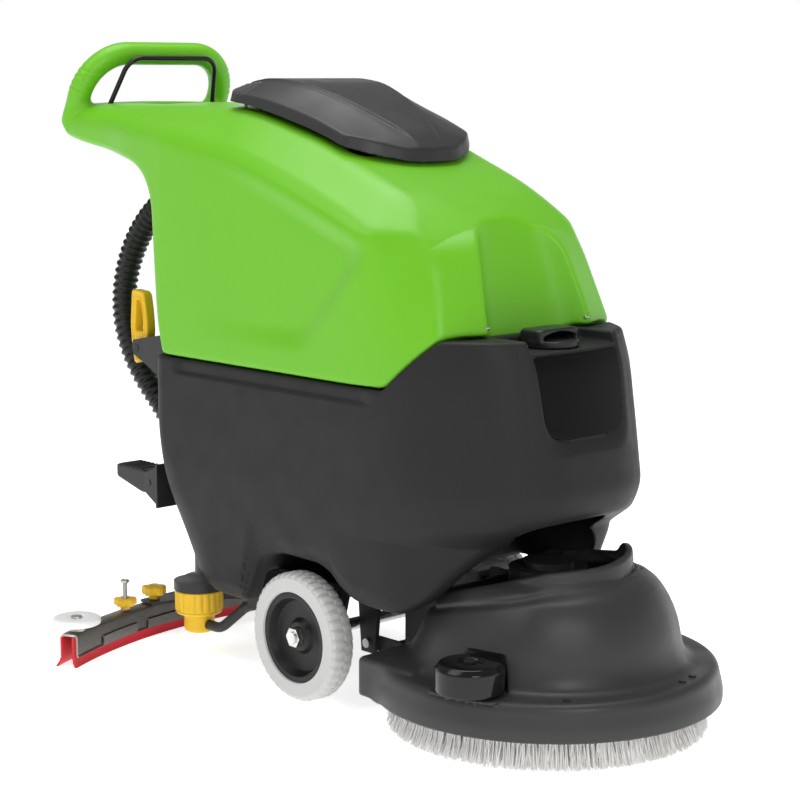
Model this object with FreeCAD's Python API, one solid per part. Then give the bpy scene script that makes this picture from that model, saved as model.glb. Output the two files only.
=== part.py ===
import FreeCAD, Part
import math
import os

# Walk-behind floor scrubber with one disc brush, drawn in millimetres.
# +X is forward, +Y is the machine's left and +Z is up; the floor is z = 0.
# Shapes are drawn from the brush axis, and save() moves the origin to below the
# middle of the whole machine.

os.makedirs("parts", exist_ok=True)
V = FreeCAD.Vector

# ---- driving dimensions ----
BRUSH_D = 508.0            # disc brush, across the bristle tips
BRISTLE_H = 45.0
PLATE_T = 16.0             # brush block
SKIRT_ROOM = 23.0          # from the bristle tips out to the skirt of the brush deck
DECK_WALL = 5.0
SKIRT_Z = 49.0             # lower edge of the skirt
DECK_PLATE_Z = 86.0
DECK_PLATE_T = 6.0
HALF = 235.0               # half width of both tanks
SEAM_Z = 537.0             # joint between the two tanks
LEDGE_Z = 619.0            # front ledge of the lower tank
TANK_FLOOR_Z = 137.0       # rear underside of the lower tank
FRAME_Z = 189.0            # underside of the lower tank above the axle
ROOF_Z = 962.0             # flat top of the upper tank
WALL = 6.0                 # moulded tank wall
REAR_X = -745.0            # rear face of the lower tank
SEAM_FRONT = -140.0        # where the seam starts to climb
CLIMB_TOP = -50.0          # where it reaches the ledge
BATTERY = (330.0, 172.0, 220.0)
BATTERY_X = -620.0         # rear face of the batteries
BATTERY_Z = 245.0          # floor of their well
WELL_GAP = 4.0             # clearance round the batteries
WHEEL_D = 213.4
WHEEL_W = 45.0
WHEEL_ROOM = 30.0          # from a wheel in to the edge of the chassis
HUB_R = 75.3               # seat of the tyre
AXLE_X = -349.0
AXLE_R = 10.0
CASTOR_R = 50.0
CASTOR_X = -630.0          # swivel axis of the rear castor
CASTOR_TRAIL = 25.0
PIN_R = 8.0                # pins of the arms and of the squeegee yoke
FIT = 0.05                 # running clearance on a radius
GAP = 0.5                  # clearance between faces that move past each other
ARM_L = 110.0              # brush head arms, pivot to pivot
ARM_X = -315.0             # rear pivots of the arms
ARM_Z = 80.0
LINK_Z = 145.0
ARM_Y = 92.0               # outer face of the lower arms
PLATE = 8.0                # thickness of arms, lugs and cheeks
OPEN_PIVOT = 0.4           # extra clearance where the four-bar linkage is opened
DECK_REAR = -186.0         # rear panel of the deck
DECK_SIDE = 240.0          # its half width
SCREW_R = 3.0              # deck screws, on a circle of SCREW_RING
SCREW_RING = 245.0
SHAFT_R = 12.0             # brush motor shaft
SPRING_Y = -60.0           # head spring: place, wire and coil radius
SPRING_WIRE = 1.5
SPRING_R = 9.0
ROLLER_R = 53.0            # side bumper roller
ROLLER_X = 62.0
ROLLER_Y = -234.0
ROLLER_Z = 109.0
ROLLER_H = 46.0
BLADE_R = 825.0            # arc of the squeegee channel
BLADE_X = -40.0            # centre of that arc
BLADE_A = 28.4             # half angle of that arc, degrees
CHANNEL_W = 34.0
CHANNEL_TOP = 57.0
SHEET = 4.0                # squeegee channel and blade thickness
BLADE_END = 0.6            # how far the blades stand out of the channel, degrees
YOKE_LOW = 65.0            # underside of the yoke's plate
YOKE_PLATE = 7.0
YOKE_X = -600.0            # squeegee yoke pivot
YOKE_Z = 110.0
NOZZLE_X = BLADE_X - BLADE_R   # suction nozzle, also the swing axis of the squeegee
KNOB_Y = 148.0
ADJUST_Y = 225.0
DISC_Y = 366.0
DISC_R = 42.0
STUD_R = 5.0               # studs that hold the channel
HOSE_D = 47.0
SOCKET_ROOM = 7.5          # from the hose to the wall of the nozzle's socket
SOCKET_TOP = 124.0
SPOUT_WALL = 6.5           # wall of the tank's spout round the hose
SPOUT_LIP = 4.5            # step in the spout that the hose stops at
SPOUT_Z = 820.0
HANDLE_X = -1060.0         # foot of the handle loop
HANDLE_R = 21.0
BAIL_R = 4.5
BAIL_BACK = 54.0           # from the foot of the handle forward to the bail
BAIL_Y = 120.0
BAIL_Z = 953.0
PANEL_BACK = 98.0          # from the foot of the handle forward to the control panel
PANEL_L = 120.0
PANEL_HALF = 102.0
KEY_Y = -60.0
SWITCHES_Y = {"switch_brush": 0.0, "switch_vacuum": 45.0}
HINGE_X = -28.0            # front hinge of the upper tank
HINGE_Z = 634.0
HINGE_Y = 120.0
LID_HINGE_X = -624.0
LID_HOLE = ((-588.0, -310.0), (-118.0, 118.0))
MOTOR_BAY = (-595.0, -589.0)   # wall between the dirty water and the suction motor
MOTOR_X = -654.0           # suction motor
LEVER_X = -837.0           # squeegee lever pivot
LEVER_Z = 533.0
LEVER_Y = -170.0
PEDAL_X = -770.0
PEDAL_Z = 300.0
PEDAL_Y = -180.0
CAP_X = 0.0                # filler cap
CAP_R = 44.0
CAP_T = 12.0
GRIP_Y = 44.0              # half width of its grip
NECK_R = 38.0              # filler neck bore
NOTCH = 19.0               # depth of the cap's notch in the ledge
FILTER_X = -672.0
FILTER_Y = -180.0

AXLE_Z = WHEEL_D / 2
DECK_R = BRUSH_D / 2 + SKIRT_ROOM
SOCKET_R = HOSE_D / 2 + SOCKET_ROOM
COLLAR_R = SOCKET_R + 13.0     # ring that the squeegee swings on
BAIL_X = HANDLE_X + BAIL_BACK
PANEL = ((HANDLE_X + PANEL_BACK, HANDLE_X + PANEL_BACK + PANEL_L), (-PANEL_HALF, PANEL_HALF))
PANEL_MID = (PANEL[0][0] + PANEL[0][1]) / 2 + 2.0
SPOUT_X = REAR_X - 14.0


def on_arc(y):
    """Place along X of the middle of the squeegee channel at this y."""
    return BLADE_X - math.sqrt(BLADE_R ** 2 - y ** 2)


KNOB_X = on_arc(KNOB_Y)
ADJUST_X = on_arc(ADJUST_Y)
DISC_X = on_arc(DISC_Y)
origin_x = (DECK_R + HANDLE_X - HANDLE_R) / 2


# ---- shape helpers ----
def box(x, y, z):
    return Part.makeBox(x[1] - x[0], y[1] - y[0], z[1] - z[0], V(x[0], y[0], z[0]))


def rod(start, end, radius):
    a, b = V(*start), V(*end)
    return Part.makeCylinder(radius, (b - a).Length, a, b - a)


def disc(x, y, radius, z):
    return Part.makeCylinder(radius, z[1] - z[0], V(x, y, z[0]))


def ring(x, y, inner, outer, z):
    return disc(x, y, outer, z).cut(disc(x, y, inner, (z[0] - 1, z[1] + 1)))


def side(points, y):
    """Prism of an outline in the XZ plane, between the two y values."""
    wire = Part.makePolygon([V(p[0], y[0], p[1]) for p in points + points[:1]])
    return Part.Face(wire).extrude(V(0, y[1] - y[0], 0))


def across(points, x):
    """Prism of an outline in the YZ plane, between the two x values."""
    wire = Part.makePolygon([V(x[0], p[0], p[1]) for p in points + points[:1]])
    return Part.Face(wire).extrude(V(x[1] - x[0], 0, 0))


def plan(points, z):
    """Prism of an outline in the XY plane, between the two z values."""
    wire = Part.makePolygon([V(p[0], p[1], z[0]) for p in points + points[:1]])
    return Part.Face(wire).extrude(V(0, 0, z[1] - z[0]))


def turned(profile, x=0.0, y=0.0):
    """Solid of revolution of a (radius, height) outline about a vertical axis."""
    wire = Part.makePolygon([V(x + r, y, z) for r, z in profile + profile[:1]])
    return Part.Face(wire).revolve(V(x, y, 0), V(0, 0, 1), 360)


def lathed(profile, x, z):
    """Solid of revolution of a (radius, y) outline about an axis along Y."""
    wire = Part.makePolygon([V(x + r, y, z) for r, y in profile + profile[:1]])
    return Part.Face(wire).revolve(V(x, 0, z), V(0, 1, 0), 360)


def sector(inner, outer, z, half_angle, middle=0.0):
    """Bent bar on the squeegee arc, about its centre, half_angle to each side."""
    first = math.radians(180 + middle - half_angle)
    corners = [(inner, z[0]), (outer, z[0]), (outer, z[1]), (inner, z[1])]
    points = [V(BLADE_X + r * math.cos(first), r * math.sin(first), h) for r, h in corners]
    wire = Part.makePolygon(points + points[:1])
    return Part.Face(wire).revolve(V(BLADE_X, 0, 0), V(0, 0, 1), 2 * half_angle)


def join(first, *others):
    return first.fuse(list(others)).removeSplitter()


def cut(shape, *tools):
    return shape.cut(list(tools))


def mirrored(shape):
    return shape.mirror(V(0, 0, 0), V(0, 1, 0))


def both(shape):
    return [shape, mirrored(shape)]


def inset(points, distance):
    """Outline with every edge moved inwards; the points run anticlockwise."""
    lines = []
    for a, b in zip(points, points[1:] + points[:1]):
        length = math.hypot(b[0] - a[0], b[1] - a[1])
        nx, ny = -(b[1] - a[1]) / length, (b[0] - a[0]) / length
        lines.append((nx, ny, nx * a[0] + ny * a[1] + distance))
    moved = []
    for p, q in zip(lines[-1:] + lines[:-1], lines):
        det = p[0] * q[1] - q[0] * p[1]
        moved.append(((p[2] * q[1] - q[2] * p[1]) / det, (p[0] * q[2] - q[0] * p[2]) / det))
    return moved


def loft_up(sections):
    """Ruled solid through plan outlines, given as (height, points)."""
    wires = [Part.makePolygon([V(x, y, z) for x, y in pts + pts[:1]]) for z, pts in sections]
    return Part.makeLoft(wires, True, True)


def loft_back(sections):
    """Ruled solid through cross outlines, given as (x, points in YZ)."""
    wires = [Part.makePolygon([V(x, y, z) for y, z in pts + pts[:1]]) for x, pts in sections]
    return Part.makeLoft(wires, True, True)


def symmetric(half):
    """Closed outline from the points of its right half, rear to front."""
    return [(x, -y) for x, y in half] + [(x, y) for x, y in reversed(half) if y > 0.01]


def bent_tube(points, radius, bends):
    """Round bar along straight runs joined by tangent arcs of the given radii."""
    pts = [V(*p) for p in points]
    edges, here = [], pts[0]
    for before, corner, after, bend in zip(pts, pts[1:], pts[2:], bends):
        u, w = (before - corner).normalize(), (after - corner).normalize()
        half_turn = (math.pi - u.getAngle(w)) / 2
        reach = bend * math.tan(half_turn)
        start, end = corner + u * reach, corner + w * reach
        middle = corner + (u + w).normalize() * (bend / math.cos(half_turn) - bend)
        edges += [Part.LineSegment(here, start).toShape(), Part.Arc(start, middle, end).toShape()]
        here = end
    edges.append(Part.LineSegment(here, pts[-1]).toShape())
    path = Part.Wire(edges)
    profile = Part.Wire(Part.makeCircle(radius, pts[0], pts[1] - pts[0]))
    return path.makePipeShell([profile], True, False), path.Length


def free_bends(points):
    """Radius of each arc of a loose hose: as large as its two runs allow."""
    pts = [V(*p) for p in points]
    radii = []
    for a, b, c in zip(pts, pts[1:], pts[2:]):
        turn = (b - a).getAngle(c - b)
        radii.append(0.45 * min((b - a).Length, (c - b).Length) / math.tan(turn / 2))
    return radii


def star_knob(x, y, radius, z, bore):
    lobes = []
    for k in range(5):
        a = math.radians(72 * k + 20)
        lobes.append(disc(x + 0.72 * radius * math.cos(a), y + 0.72 * radius * math.sin(a),
                          0.3 * radius, (z[0] + 8, z[1])))
    body = join(disc(x, y, 0.72 * radius, (z[0] + 8, z[1])), disc(x, y, 10, (z[0], z[0] + 9)), *lobes)
    return body.cut(disc(x, y, bore, (z[0] - 1, z[1] + 1)))


def save(name, *solids):
    shape = solids[0] if len(solids) == 1 else Part.makeCompound(list(solids))
    shape = shape.copy()
    shape.translate(V(-origin_x, 0, 0))
    bad = [s for s in shape.Solids if not s.isValid()]
    print(name, len(shape.Solids), "solids", "INVALID" if bad or not shape.Solids else "")
    shape.exportStep("parts/" + name + ".step")


# ---- lower tank ----
def lower_plan(z, front, corner, nose):
    """Plan outline of the lower tank: bowed front, rounded rear corners."""
    half = [(REAR_X, 190), (REAR_X + 22, HALF - 10), (REAR_X + 60, HALF), (corner, HALF),
            (front - 95, HALF - 20), (front - 32, HALF - 85), (front, HALF - 120), (nose, 0)]
    return z, symmetric(half)


def lower_body(distance):
    rows = [lower_plan(TANK_FLOOR_Z - 10, 40, -190, 46), lower_plan(315, 58, -170, 66),
            lower_plan(395, 90, -150, 100), lower_plan(SEAM_Z, 70, -150, 80),
            lower_plan(LEDGE_Z + 10, 44, -160, 54)]
    return loft_up([(z, inset(points, distance)) for z, points in rows])


tank_side = [(REAR_X + 69, TANK_FLOOR_Z), (-499, TANK_FLOOR_Z), (-499, FRAME_Z), (-110, FRAME_Z),
             (-84, 204), (-25, 267), (14, 310), (45, 331), (120, 350), (120, LEDGE_Z),
             (CLIMB_TOP, LEDGE_Z), (SEAM_FRONT, SEAM_Z), (REAR_X + 14, SEAM_Z),
             (REAR_X + 14, LEDGE_Z - 7), (REAR_X - 5, LEDGE_Z - 7), (REAR_X - 5, 290)]
ARCH_Y = HALF - WHEEL_W - 5
arch = [(-510, 120), (-499, 137), (-452, 219), (-430, 228), (-392, 236), (-315, 236),
        (-278, 225), (-254, 205), (-206, 189), (-190, 120)]

tank = lower_body(0).common(side(tank_side, (-HALF - 5, HALF + 5)))
well = box((BATTERY_X - WELL_GAP, BATTERY_X + BATTERY[0] + WELL_GAP),
           (-BATTERY[1] - WELL_GAP, BATTERY[1] + WELL_GAP), (BATTERY_Z, SEAM_Z + 1))
cavity = lower_body(WALL + 8).common(box((BATTERY_X + BATTERY[0] + WELL_GAP + WALL, 200),
                                         (-HALF, HALF), (340, SEAM_Z - WALL)))
cavity = cavity.fuse(lower_body(WALL + 8).common(
    box((CLIMB_TOP + WALL, 200), (-150, 150), (SEAM_Z - WALL - 1, LEDGE_Z - NOTCH - WALL))))
tank = cut(tank, *both(side(arch, (ARCH_Y, HALF + 10))),
           box((-240, 200), (-205, 205), (100, 272)), box((-240, 200), (-172, 172), (100, 331)),
           well, cavity,
           box((CLIMB_TOP + 20, 200), (-95, 95), (LEDGE_Z - NOTCH, LEDGE_Z + 5)),
           disc(CAP_X, 0, NECK_R, (500, 700)),
           disc(CAP_X, 0, NECK_R + 6, (LEDGE_Z - NOTCH - 2, 700)),
           disc(CAP_X, 0, CAP_R + 2, (LEDGE_Z - NOTCH, 700)))
recess = loft_up([(z, inset(p, 8)) for z, p in [lower_plan(395, 90, -150, 100),
                                              lower_plan(SEAM_Z, 70, -150, 80),
                                              lower_plan(LEDGE_Z + 10, 44, -160, 54)]])
band = box((-20, 200), (-108, 108), (455, LEDGE_Z - NOTCH + 1))
tank = tank.cut(band.cut(recess))
ear = side([(HINGE_X - 9, LEDGE_Z), (HINGE_X + 7, LEDGE_Z), (HINGE_X + 7, HINGE_Z + 4),
            (HINGE_X + 3, HINGE_Z + 8), (HINGE_X - 5, HINGE_Z + 8), (HINGE_X - 9, HINGE_Z + 4)],
           (HINGE_Y, HINGE_Y + PLATE))
ear = ear.cut(rod((HINGE_X, HINGE_Y - 5, HINGE_Z), (HINGE_X, HINGE_Y + 20, HINGE_Z), 4))
tank = join(tank, *both(ear))
save("solution_tank", tank)
save("tank_hinge_pins", *both(rod((HINGE_X, HINGE_Y - 5, HINGE_Z), (HINGE_X, HINGE_Y + 16, HINGE_Z), 4)))

notch_z = LEDGE_Z - NOTCH
strainer = turned([(NECK_R - 2, notch_z - 80), (NECK_R - 0.3, notch_z - 80), (NECK_R - 0.3, notch_z - 2),
                   (NECK_R + 5, notch_z - 2), (NECK_R + 5, notch_z), (NECK_R - 2, notch_z)], CAP_X)
strainer = strainer.fuse(ring(CAP_X, 0, 12, NECK_R - 1, (notch_z - 82, notch_z - 80)))
save("filler_strainer", strainer)
grip_arch = [(-36, notch_z + CAP_T), (36, notch_z + CAP_T), (34, notch_z + 21), (18, notch_z + 26),
             (-18, notch_z + 26), (-34, notch_z + 21)]
grip = across([(-GRIP_Y, notch_z + 8), (GRIP_Y, notch_z + 8), (GRIP_Y - 1, notch_z + 26),
               (GRIP_Y - 6, notch_z + 30), (-GRIP_Y + 6, notch_z + 30), (-GRIP_Y + 1, notch_z + 26)],
              (CAP_X - 28, CAP_X + 20))
grip = grip.cut(across(grip_arch, (CAP_X - 20, CAP_X + 30)))
cap = join(disc(CAP_X, 0, CAP_R, (notch_z + GAP, notch_z + CAP_T)),
           disc(CAP_X, 0, NECK_R - 4, (notch_z - 12, notch_z + 1)), grip)
save("filler_cap", cap)

batteries = []
for sign in (-1, 1):
    y = (min(sign * 1.0, sign * BATTERY[1]), max(sign * 1.0, sign * BATTERY[1]))
    case = box((BATTERY_X, BATTERY_X + BATTERY[0]), y, (BATTERY_Z, BATTERY_Z + BATTERY[2]))
    posts = [disc(BATTERY_X + 25 + k * 280, sign * 40, 8, (BATTERY_Z + BATTERY[2] - 1,
                                                          BATTERY_Z + BATTERY[2] + 14)) for k in (0, 1)]
    batteries.append(join(case, *posts))
save("batteries", *batteries)

# ---- chassis, axle and wheels ----
LUG_Y = (ARM_Y + 1, ARM_Y + 1 + PLATE)
lower_lug = side([(ARM_X - 25, FRAME_Z - 6), (ARM_X + 30, FRAME_Z - 6), (ARM_X + 17, ARM_Z - 16),
                  (ARM_X - 15, ARM_Z - 16)], LUG_Y)
upper_lug = side([(ARM_X - 25, FRAME_Z - 6), (ARM_X + 20, FRAME_Z - 6), (ARM_X + 15, LINK_Z - 17),
                  (ARM_X - 15, LINK_Z - 17)], (16, 16 + PLATE))
frame_y = HALF - WHEEL_W - WHEEL_ROOM
axle_cheek = side([(AXLE_X - 50, FRAME_Z - 6), (AXLE_X + 50, FRAME_Z - 6), (AXLE_X + 24, AXLE_Z - 20),
                   (AXLE_X - 24, AXLE_Z - 20)], (frame_y - 2 - PLATE, frame_y - 2))
yoke_lug = side([(YOKE_X - 25, TANK_FLOOR_Z - 6), (YOKE_X + 25, TANK_FLOOR_Z - 6),
                 (YOKE_X + 12, YOKE_Z - 13), (YOKE_X - 12, YOKE_Z - 13)], (97, 97 + PLATE))
frame = join(box((-499, -245), (-frame_y, frame_y), (FRAME_Z - 6, FRAME_Z)),
             box((-499, -493), (-frame_y, frame_y), (TANK_FLOOR_Z - 6, FRAME_Z)),
             box((REAR_X + 70, -493), (-125, 125), (TANK_FLOOR_Z - 6, TANK_FLOOR_Z)),
             disc(CASTOR_X, 0, 22, (TANK_FLOOR_Z - 17, TANK_FLOOR_Z - 5)),
             *both(lower_lug), *both(upper_lug), *both(axle_cheek), *both(yoke_lug))
frame = cut(frame, rod((AXLE_X, -300, AXLE_Z), (AXLE_X, 300, AXLE_Z), AXLE_R),
            rod((ARM_X, -200, ARM_Z), (ARM_X, 200, ARM_Z), PIN_R),
            rod((ARM_X, -40, LINK_Z), (ARM_X, 40, LINK_Z), PIN_R),
            rod((YOKE_X, -140, YOKE_Z), (YOKE_X, 140, YOKE_Z), PIN_R),
            disc(CASTOR_X, 0, PIN_R + FIT, (100, TANK_FLOOR_Z - 4)))
save("chassis_frame", frame)
save("rear_pivot_pins", *both(rod((ARM_X, ARM_Y - 12, ARM_Z), (ARM_X, ARM_Y + 13, ARM_Z), PIN_R)),
     rod((ARM_X, -28, LINK_Z), (ARM_X, 28, LINK_Z), PIN_R),
     *both(rod((YOKE_X, 84, YOKE_Z), (YOKE_X, 109, YOKE_Z), PIN_R)))
save("axle", rod((AXLE_X, -HALF - 3, AXLE_Z), (AXLE_X, HALF + 3, AXLE_Z), AXLE_R))

wheel_in = HALF - WHEEL_W
tyre = lathed([(HUB_R, wheel_in + 2), (AXLE_Z - 8, wheel_in), (AXLE_Z, wheel_in + 8), (AXLE_Z, HALF - 8),
               (AXLE_Z - 8, HALF), (HUB_R, HALF - 2)], AXLE_X, AXLE_Z)
hub_bore = AXLE_R + FIT
hub = lathed([(hub_bore, wheel_in + 3), (28, wheel_in + 3), (28, HALF - 28), (58, HALF - 28),
              (62, wheel_in + 4), (HUB_R, wheel_in + 4), (HUB_R, HALF - 3), (66, HALF - 3),
              (60, HALF - 20), (30, HALF - 22), (24, HALF - 12), (hub_bore, HALF - 12)], AXLE_X, AXLE_Z)
nut = Part.Face(Part.makePolygon([V(AXLE_X + 17 * math.cos(math.radians(60 * k)), HALF - 12 + GAP,
                                    AXLE_Z + 17 * math.sin(math.radians(60 * k))) for k in range(7)]))
nut = nut.extrude(V(0, 11, 0)).cut(rod((AXLE_X, 0, AXLE_Z), (AXLE_X, 300, AXLE_Z), AXLE_R))
save("axle_nuts", *both(nut))
save("tyre_left", tyre)
save("hub_left", hub)
save("tyre_right", mirrored(tyre))
save("hub_right", mirrored(hub))

# ---- rear castor ----
castor_x = CASTOR_X - CASTOR_TRAIL
crown_z = TANK_FLOOR_Z - 17 - GAP
fork_side = [(CASTOR_X - 20, crown_z), (CASTOR_X + 20, crown_z), (CASTOR_X + 16, crown_z - 12),
             (castor_x + 12, CASTOR_R - 10), (castor_x, CASTOR_R - 14), (castor_x - 12, CASTOR_R - 10),
             (castor_x - 12, CASTOR_R + 10)]
fork = join(disc(CASTOR_X, 0, 24, (crown_z - 6, crown_z)), *both(side(fork_side, (16, 20))),
            disc(CASTOR_X, 0, PIN_R, (crown_z - 1, TANK_FLOOR_Z - 6)),
            box((CASTOR_X - 20, CASTOR_X + 20), (-20, 20), (crown_z - 6, crown_z)),
            rod((castor_x, -22, CASTOR_R), (castor_x, 22, CASTOR_R), 5))
save("castor_fork", fork)
save("castor_wheel", lathed([(5 + FIT, -15), (14, -15), (18, -9), (36, -9), (38, -13), (46, -13),
                             (CASTOR_R, -8), (CASTOR_R, 8), (46, 13), (38, 13), (36, 9), (18, 9),
                             (14, 15), (5 + FIT, 15)],
                            castor_x, CASTOR_R))

# ---- brush head: arms, bracket, deck, motor and brush ----
front_x = ARM_X + ARM_L
arm = join(box((ARM_X, front_x), (ARM_Y - PLATE, ARM_Y), (ARM_Z - 12, ARM_Z + 12)),
           rod((ARM_X, ARM_Y - PLATE, ARM_Z), (ARM_X, ARM_Y, ARM_Z), 12),
           rod((front_x, ARM_Y - PLATE, ARM_Z), (front_x, ARM_Y, ARM_Z), 12))
arms = join(arm, mirrored(arm), rod((ARM_X + 55, -ARM_Y + 1, ARM_Z), (ARM_X + 55, ARM_Y - 1, ARM_Z), 10))
save("lower_arms", cut(arms, rod((ARM_X, -200, ARM_Z), (ARM_X, 200, ARM_Z), PIN_R + FIT),
                       rod((front_x, -200, ARM_Z), (front_x, 200, ARM_Z), PIN_R + FIT)))
link = join(box((ARM_X, front_x), (-15, 15), (LINK_Z - 8, LINK_Z + 8)),
            rod((ARM_X, -15, LINK_Z), (ARM_X, 15, LINK_Z), 13),
            rod((front_x, -15, LINK_Z), (front_x, 15, LINK_Z), 13))
save("upper_link", cut(link, rod((ARM_X, -20, LINK_Z), (ARM_X, 20, LINK_Z), PIN_R + FIT),
                       rod((front_x, -20, LINK_Z), (front_x, 20, LINK_Z), PIN_R + OPEN_PIVOT)))

plate_top = DECK_PLATE_Z + DECK_PLATE_T
cheek = side([(front_x - 17, ARM_Z - 16), (front_x + 15, ARM_Z - 16), (front_x + 15, plate_top),
              (-60, plate_top), (-60, plate_top + 10), (-140, 195), (front_x - 14, 195),
              (front_x - 17, 190)], LUG_Y)
inner_lug = side([(front_x - 14, LINK_Z - 15), (front_x + 18, LINK_Z - 15), (front_x + 18, LINK_Z + 15),
                  (front_x - 14, LINK_Z + 15)], (16, 16 + PLATE))
bracket = join(cheek, mirrored(cheek),
               box((front_x + 16, front_x + 22), (-ARM_Y - 2, ARM_Y + 2), (plate_top, 188)),
               box((-150, -80), (-LUG_Y[1], LUG_Y[1]), (plate_top, plate_top + 6)), *both(inner_lug))
bracket = cut(bracket, rod((front_x, -200, ARM_Z), (front_x, 200, ARM_Z), PIN_R),
              rod((front_x, -40, LINK_Z), (front_x, 40, LINK_Z), PIN_R))
save("deck_bracket", bracket)
save("front_pivot_pins", *both(rod((front_x, ARM_Y - 12, ARM_Z), (front_x, ARM_Y + 13, ARM_Z), PIN_R)),
     rod((front_x, -28, LINK_Z), (front_x, 28, LINK_Z), PIN_R))

deck_plate = join(disc(0, 0, DECK_R - 27, (DECK_PLATE_Z, plate_top)),
                  box((DECK_REAR + 12, -90), (-DECK_SIDE + 20, DECK_SIDE - 20), (DECK_PLATE_Z, plate_top)))
deck_plate = cut(deck_plate, disc(0, 0, 46, (0, 200)), box((-300, DECK_REAR + 12), (-300, 300), (0, 200)))
dome = [(DECK_R - 50, 108), (221, 130), (213, 167), (185, 224), (147, 253), (143, 284)]
outer = turned([(0, SKIRT_Z), (DECK_R, SKIRT_Z), (DECK_R - 2, 92), (DECK_R - 10, 104)] + dome + [(0, 284)])
outer = join(outer, box((DECK_REAR, -100), (-DECK_SIDE, DECK_SIDE), (SKIRT_Z, 112)))
lining = [(DECK_R - DECK_WALL, 91), (DECK_R - 13, 99)]
lining += [(r - DECK_WALL, z - DECK_WALL + 1) for r, z in dome[:-1]]
hollow = turned([(0, SKIRT_Z - 5), (DECK_R - DECK_WALL, SKIRT_Z - 5)] + lining + [(138, 290), (0, 290)])
hollow = join(hollow, box((DECK_REAR + DECK_WALL, -100), (-DECK_SIDE + DECK_WALL, DECK_SIDE - DECK_WALL),
                          (SKIRT_Z - 5, 107)))
pocket = disc(ROLLER_X, ROLLER_Y, ROLLER_R + 7, (104, ROLLER_Z + ROLLER_H + 30)).common(outer)
housing = join(outer.cut(hollow), pocket)
screws_at = [(SCREW_RING * math.cos(math.radians(a)), SCREW_RING * math.sin(math.radians(a)))
             for a in (18, 10, -40, 75, 140, -140)]
posts = [disc(x, y, 7, (plate_top, 104)) for x, y in screws_at]
screws = [join(disc(x, y, SCREW_R, (DECK_PLATE_Z - 3, 107)), disc(x, y, 2 * SCREW_R, (106, 109)))
          for x, y in screws_at]
screw_holes = [disc(x, y, SCREW_R, (60, 130)) for x, y in screws_at]
housing = join(housing, *posts)
housing = cut(housing, disc(ROLLER_X, ROLLER_Y, ROLLER_R + 3, (ROLLER_Z - 1, 300)),
              box((-300, -70), (-115, 115), (109, 300)), box((-300, -180), (-140, 140), (40, 300)),
              box((-300, DECK_REAR), (-300, 300), (0, 300)),
              disc(ROLLER_X, ROLLER_Y, 6, (90, 120)), *screw_holes,
              *[disc(x, y, 2 * SCREW_R, (106, 130)) for x, y in screws_at])
save("deck_housing", max(housing.Solids, key=lambda s: s.Volume))
save("deck_plate", cut(deck_plate, *screw_holes))
roller_pin = join(disc(ROLLER_X, ROLLER_Y, 6, (100, ROLLER_Z + ROLLER_H - 3)),
                  disc(ROLLER_X, ROLLER_Y, 9, (ROLLER_Z + ROLLER_H - 3, ROLLER_Z + ROLLER_H + 1)))
save("deck_screws", *screws, roller_pin)
save("bumper_roller", turned([(6 + FIT, ROLLER_Z), (ROLLER_R - 3, ROLLER_Z), (ROLLER_R, ROLLER_Z + 3),
                              (ROLLER_R, ROLLER_Z + ROLLER_H - 6), (ROLLER_R - 6, ROLLER_Z + ROLLER_H),
                              (10, ROLLER_Z + ROLLER_H), (10, ROLLER_Z + ROLLER_H - 4),
                              (6 + FIT, ROLLER_Z + ROLLER_H - 4)], ROLLER_X, ROLLER_Y))
motor = join(disc(0, 0, 75, (plate_top, plate_top + 14)), disc(0, 0, 62, (plate_top + 14, 252)),
             disc(0, 0, 40, (252, 262)), disc(0, 0, 45, (DECK_PLATE_Z - 6, plate_top)))
save("brush_motor", motor.cut(disc(0, 0, SHAFT_R + FIT, (0, plate_top + 10))))
block_top = BRISTLE_H + PLATE_T
save("drive_hub", join(disc(0, 0, 45, (block_top, block_top + 12)),
                       disc(0, 0, SHAFT_R, (block_top, plate_top + 8)),
                       disc(0, 0, 30, (BRISTLE_H + 2, block_top))))
save("brush_plate", ring(0, 0, 30, BRUSH_D / 2 - 14, (BRISTLE_H, block_top)))
save("brush_bristles", turned([(84, 0), (BRUSH_D / 2, 0), (BRUSH_D / 2 - 16, BRISTLE_H), (92, BRISTLE_H)]))

spring_ends = (-245 + 0.3, front_x + 16 - 0.3)
spring_l = spring_ends[1] - spring_ends[0] - 2 * SPRING_WIRE
helix = Part.makeHelix(spring_l / 11, spring_l, SPRING_R)
wire_end = Part.Wire(Part.makeCircle(SPRING_WIRE, V(SPRING_R, 0, 0), V(0, 1, 0)))
coil = helix.makePipeShell([wire_end], True, True)
coil.rotate(V(0, 0, 0), V(0, 1, 0), 90)
coil.translate(V(spring_ends[0] + SPRING_WIRE, SPRING_Y, 177))
save("head_spring", coil)

# ---- lift pedal ----
pedal_y = (PEDAL_Y - 26, PEDAL_Y + 26)
pedal_cheek = side([(REAR_X, 262), (REAR_X, 332), (PEDAL_X - 14, 316), (PEDAL_X - 14, 284)],
                   (pedal_y[1] + 1, pedal_y[1] + 8))
other_cheek = pedal_cheek.copy()
other_cheek.translate(V(0, pedal_y[0] - pedal_y[1] - 9, 0))
pedal_back = box((REAR_X - 5, REAR_X), (pedal_y[0] - 8, pedal_y[1] + 8), (258, 336))
pedal_pin = rod((PEDAL_X, pedal_y[0] - 9, PEDAL_Z), (PEDAL_X, pedal_y[1] + 9, PEDAL_Z), 6)
save("pedal_bracket", join(pedal_cheek, other_cheek, pedal_back, pedal_pin))
pedal = side([(PEDAL_X + 11, 290), (PEDAL_X + 11, 311), (PEDAL_X - 25, 320), (PEDAL_X - 115, 320),
              (PEDAL_X - 115, 296), (PEDAL_X - 30, 276)], pedal_y)
save("lift_pedal", pedal.cut(rod((PEDAL_X, -300, PEDAL_Z), (PEDAL_X, 0, PEDAL_Z), 6 + FIT)))

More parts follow.
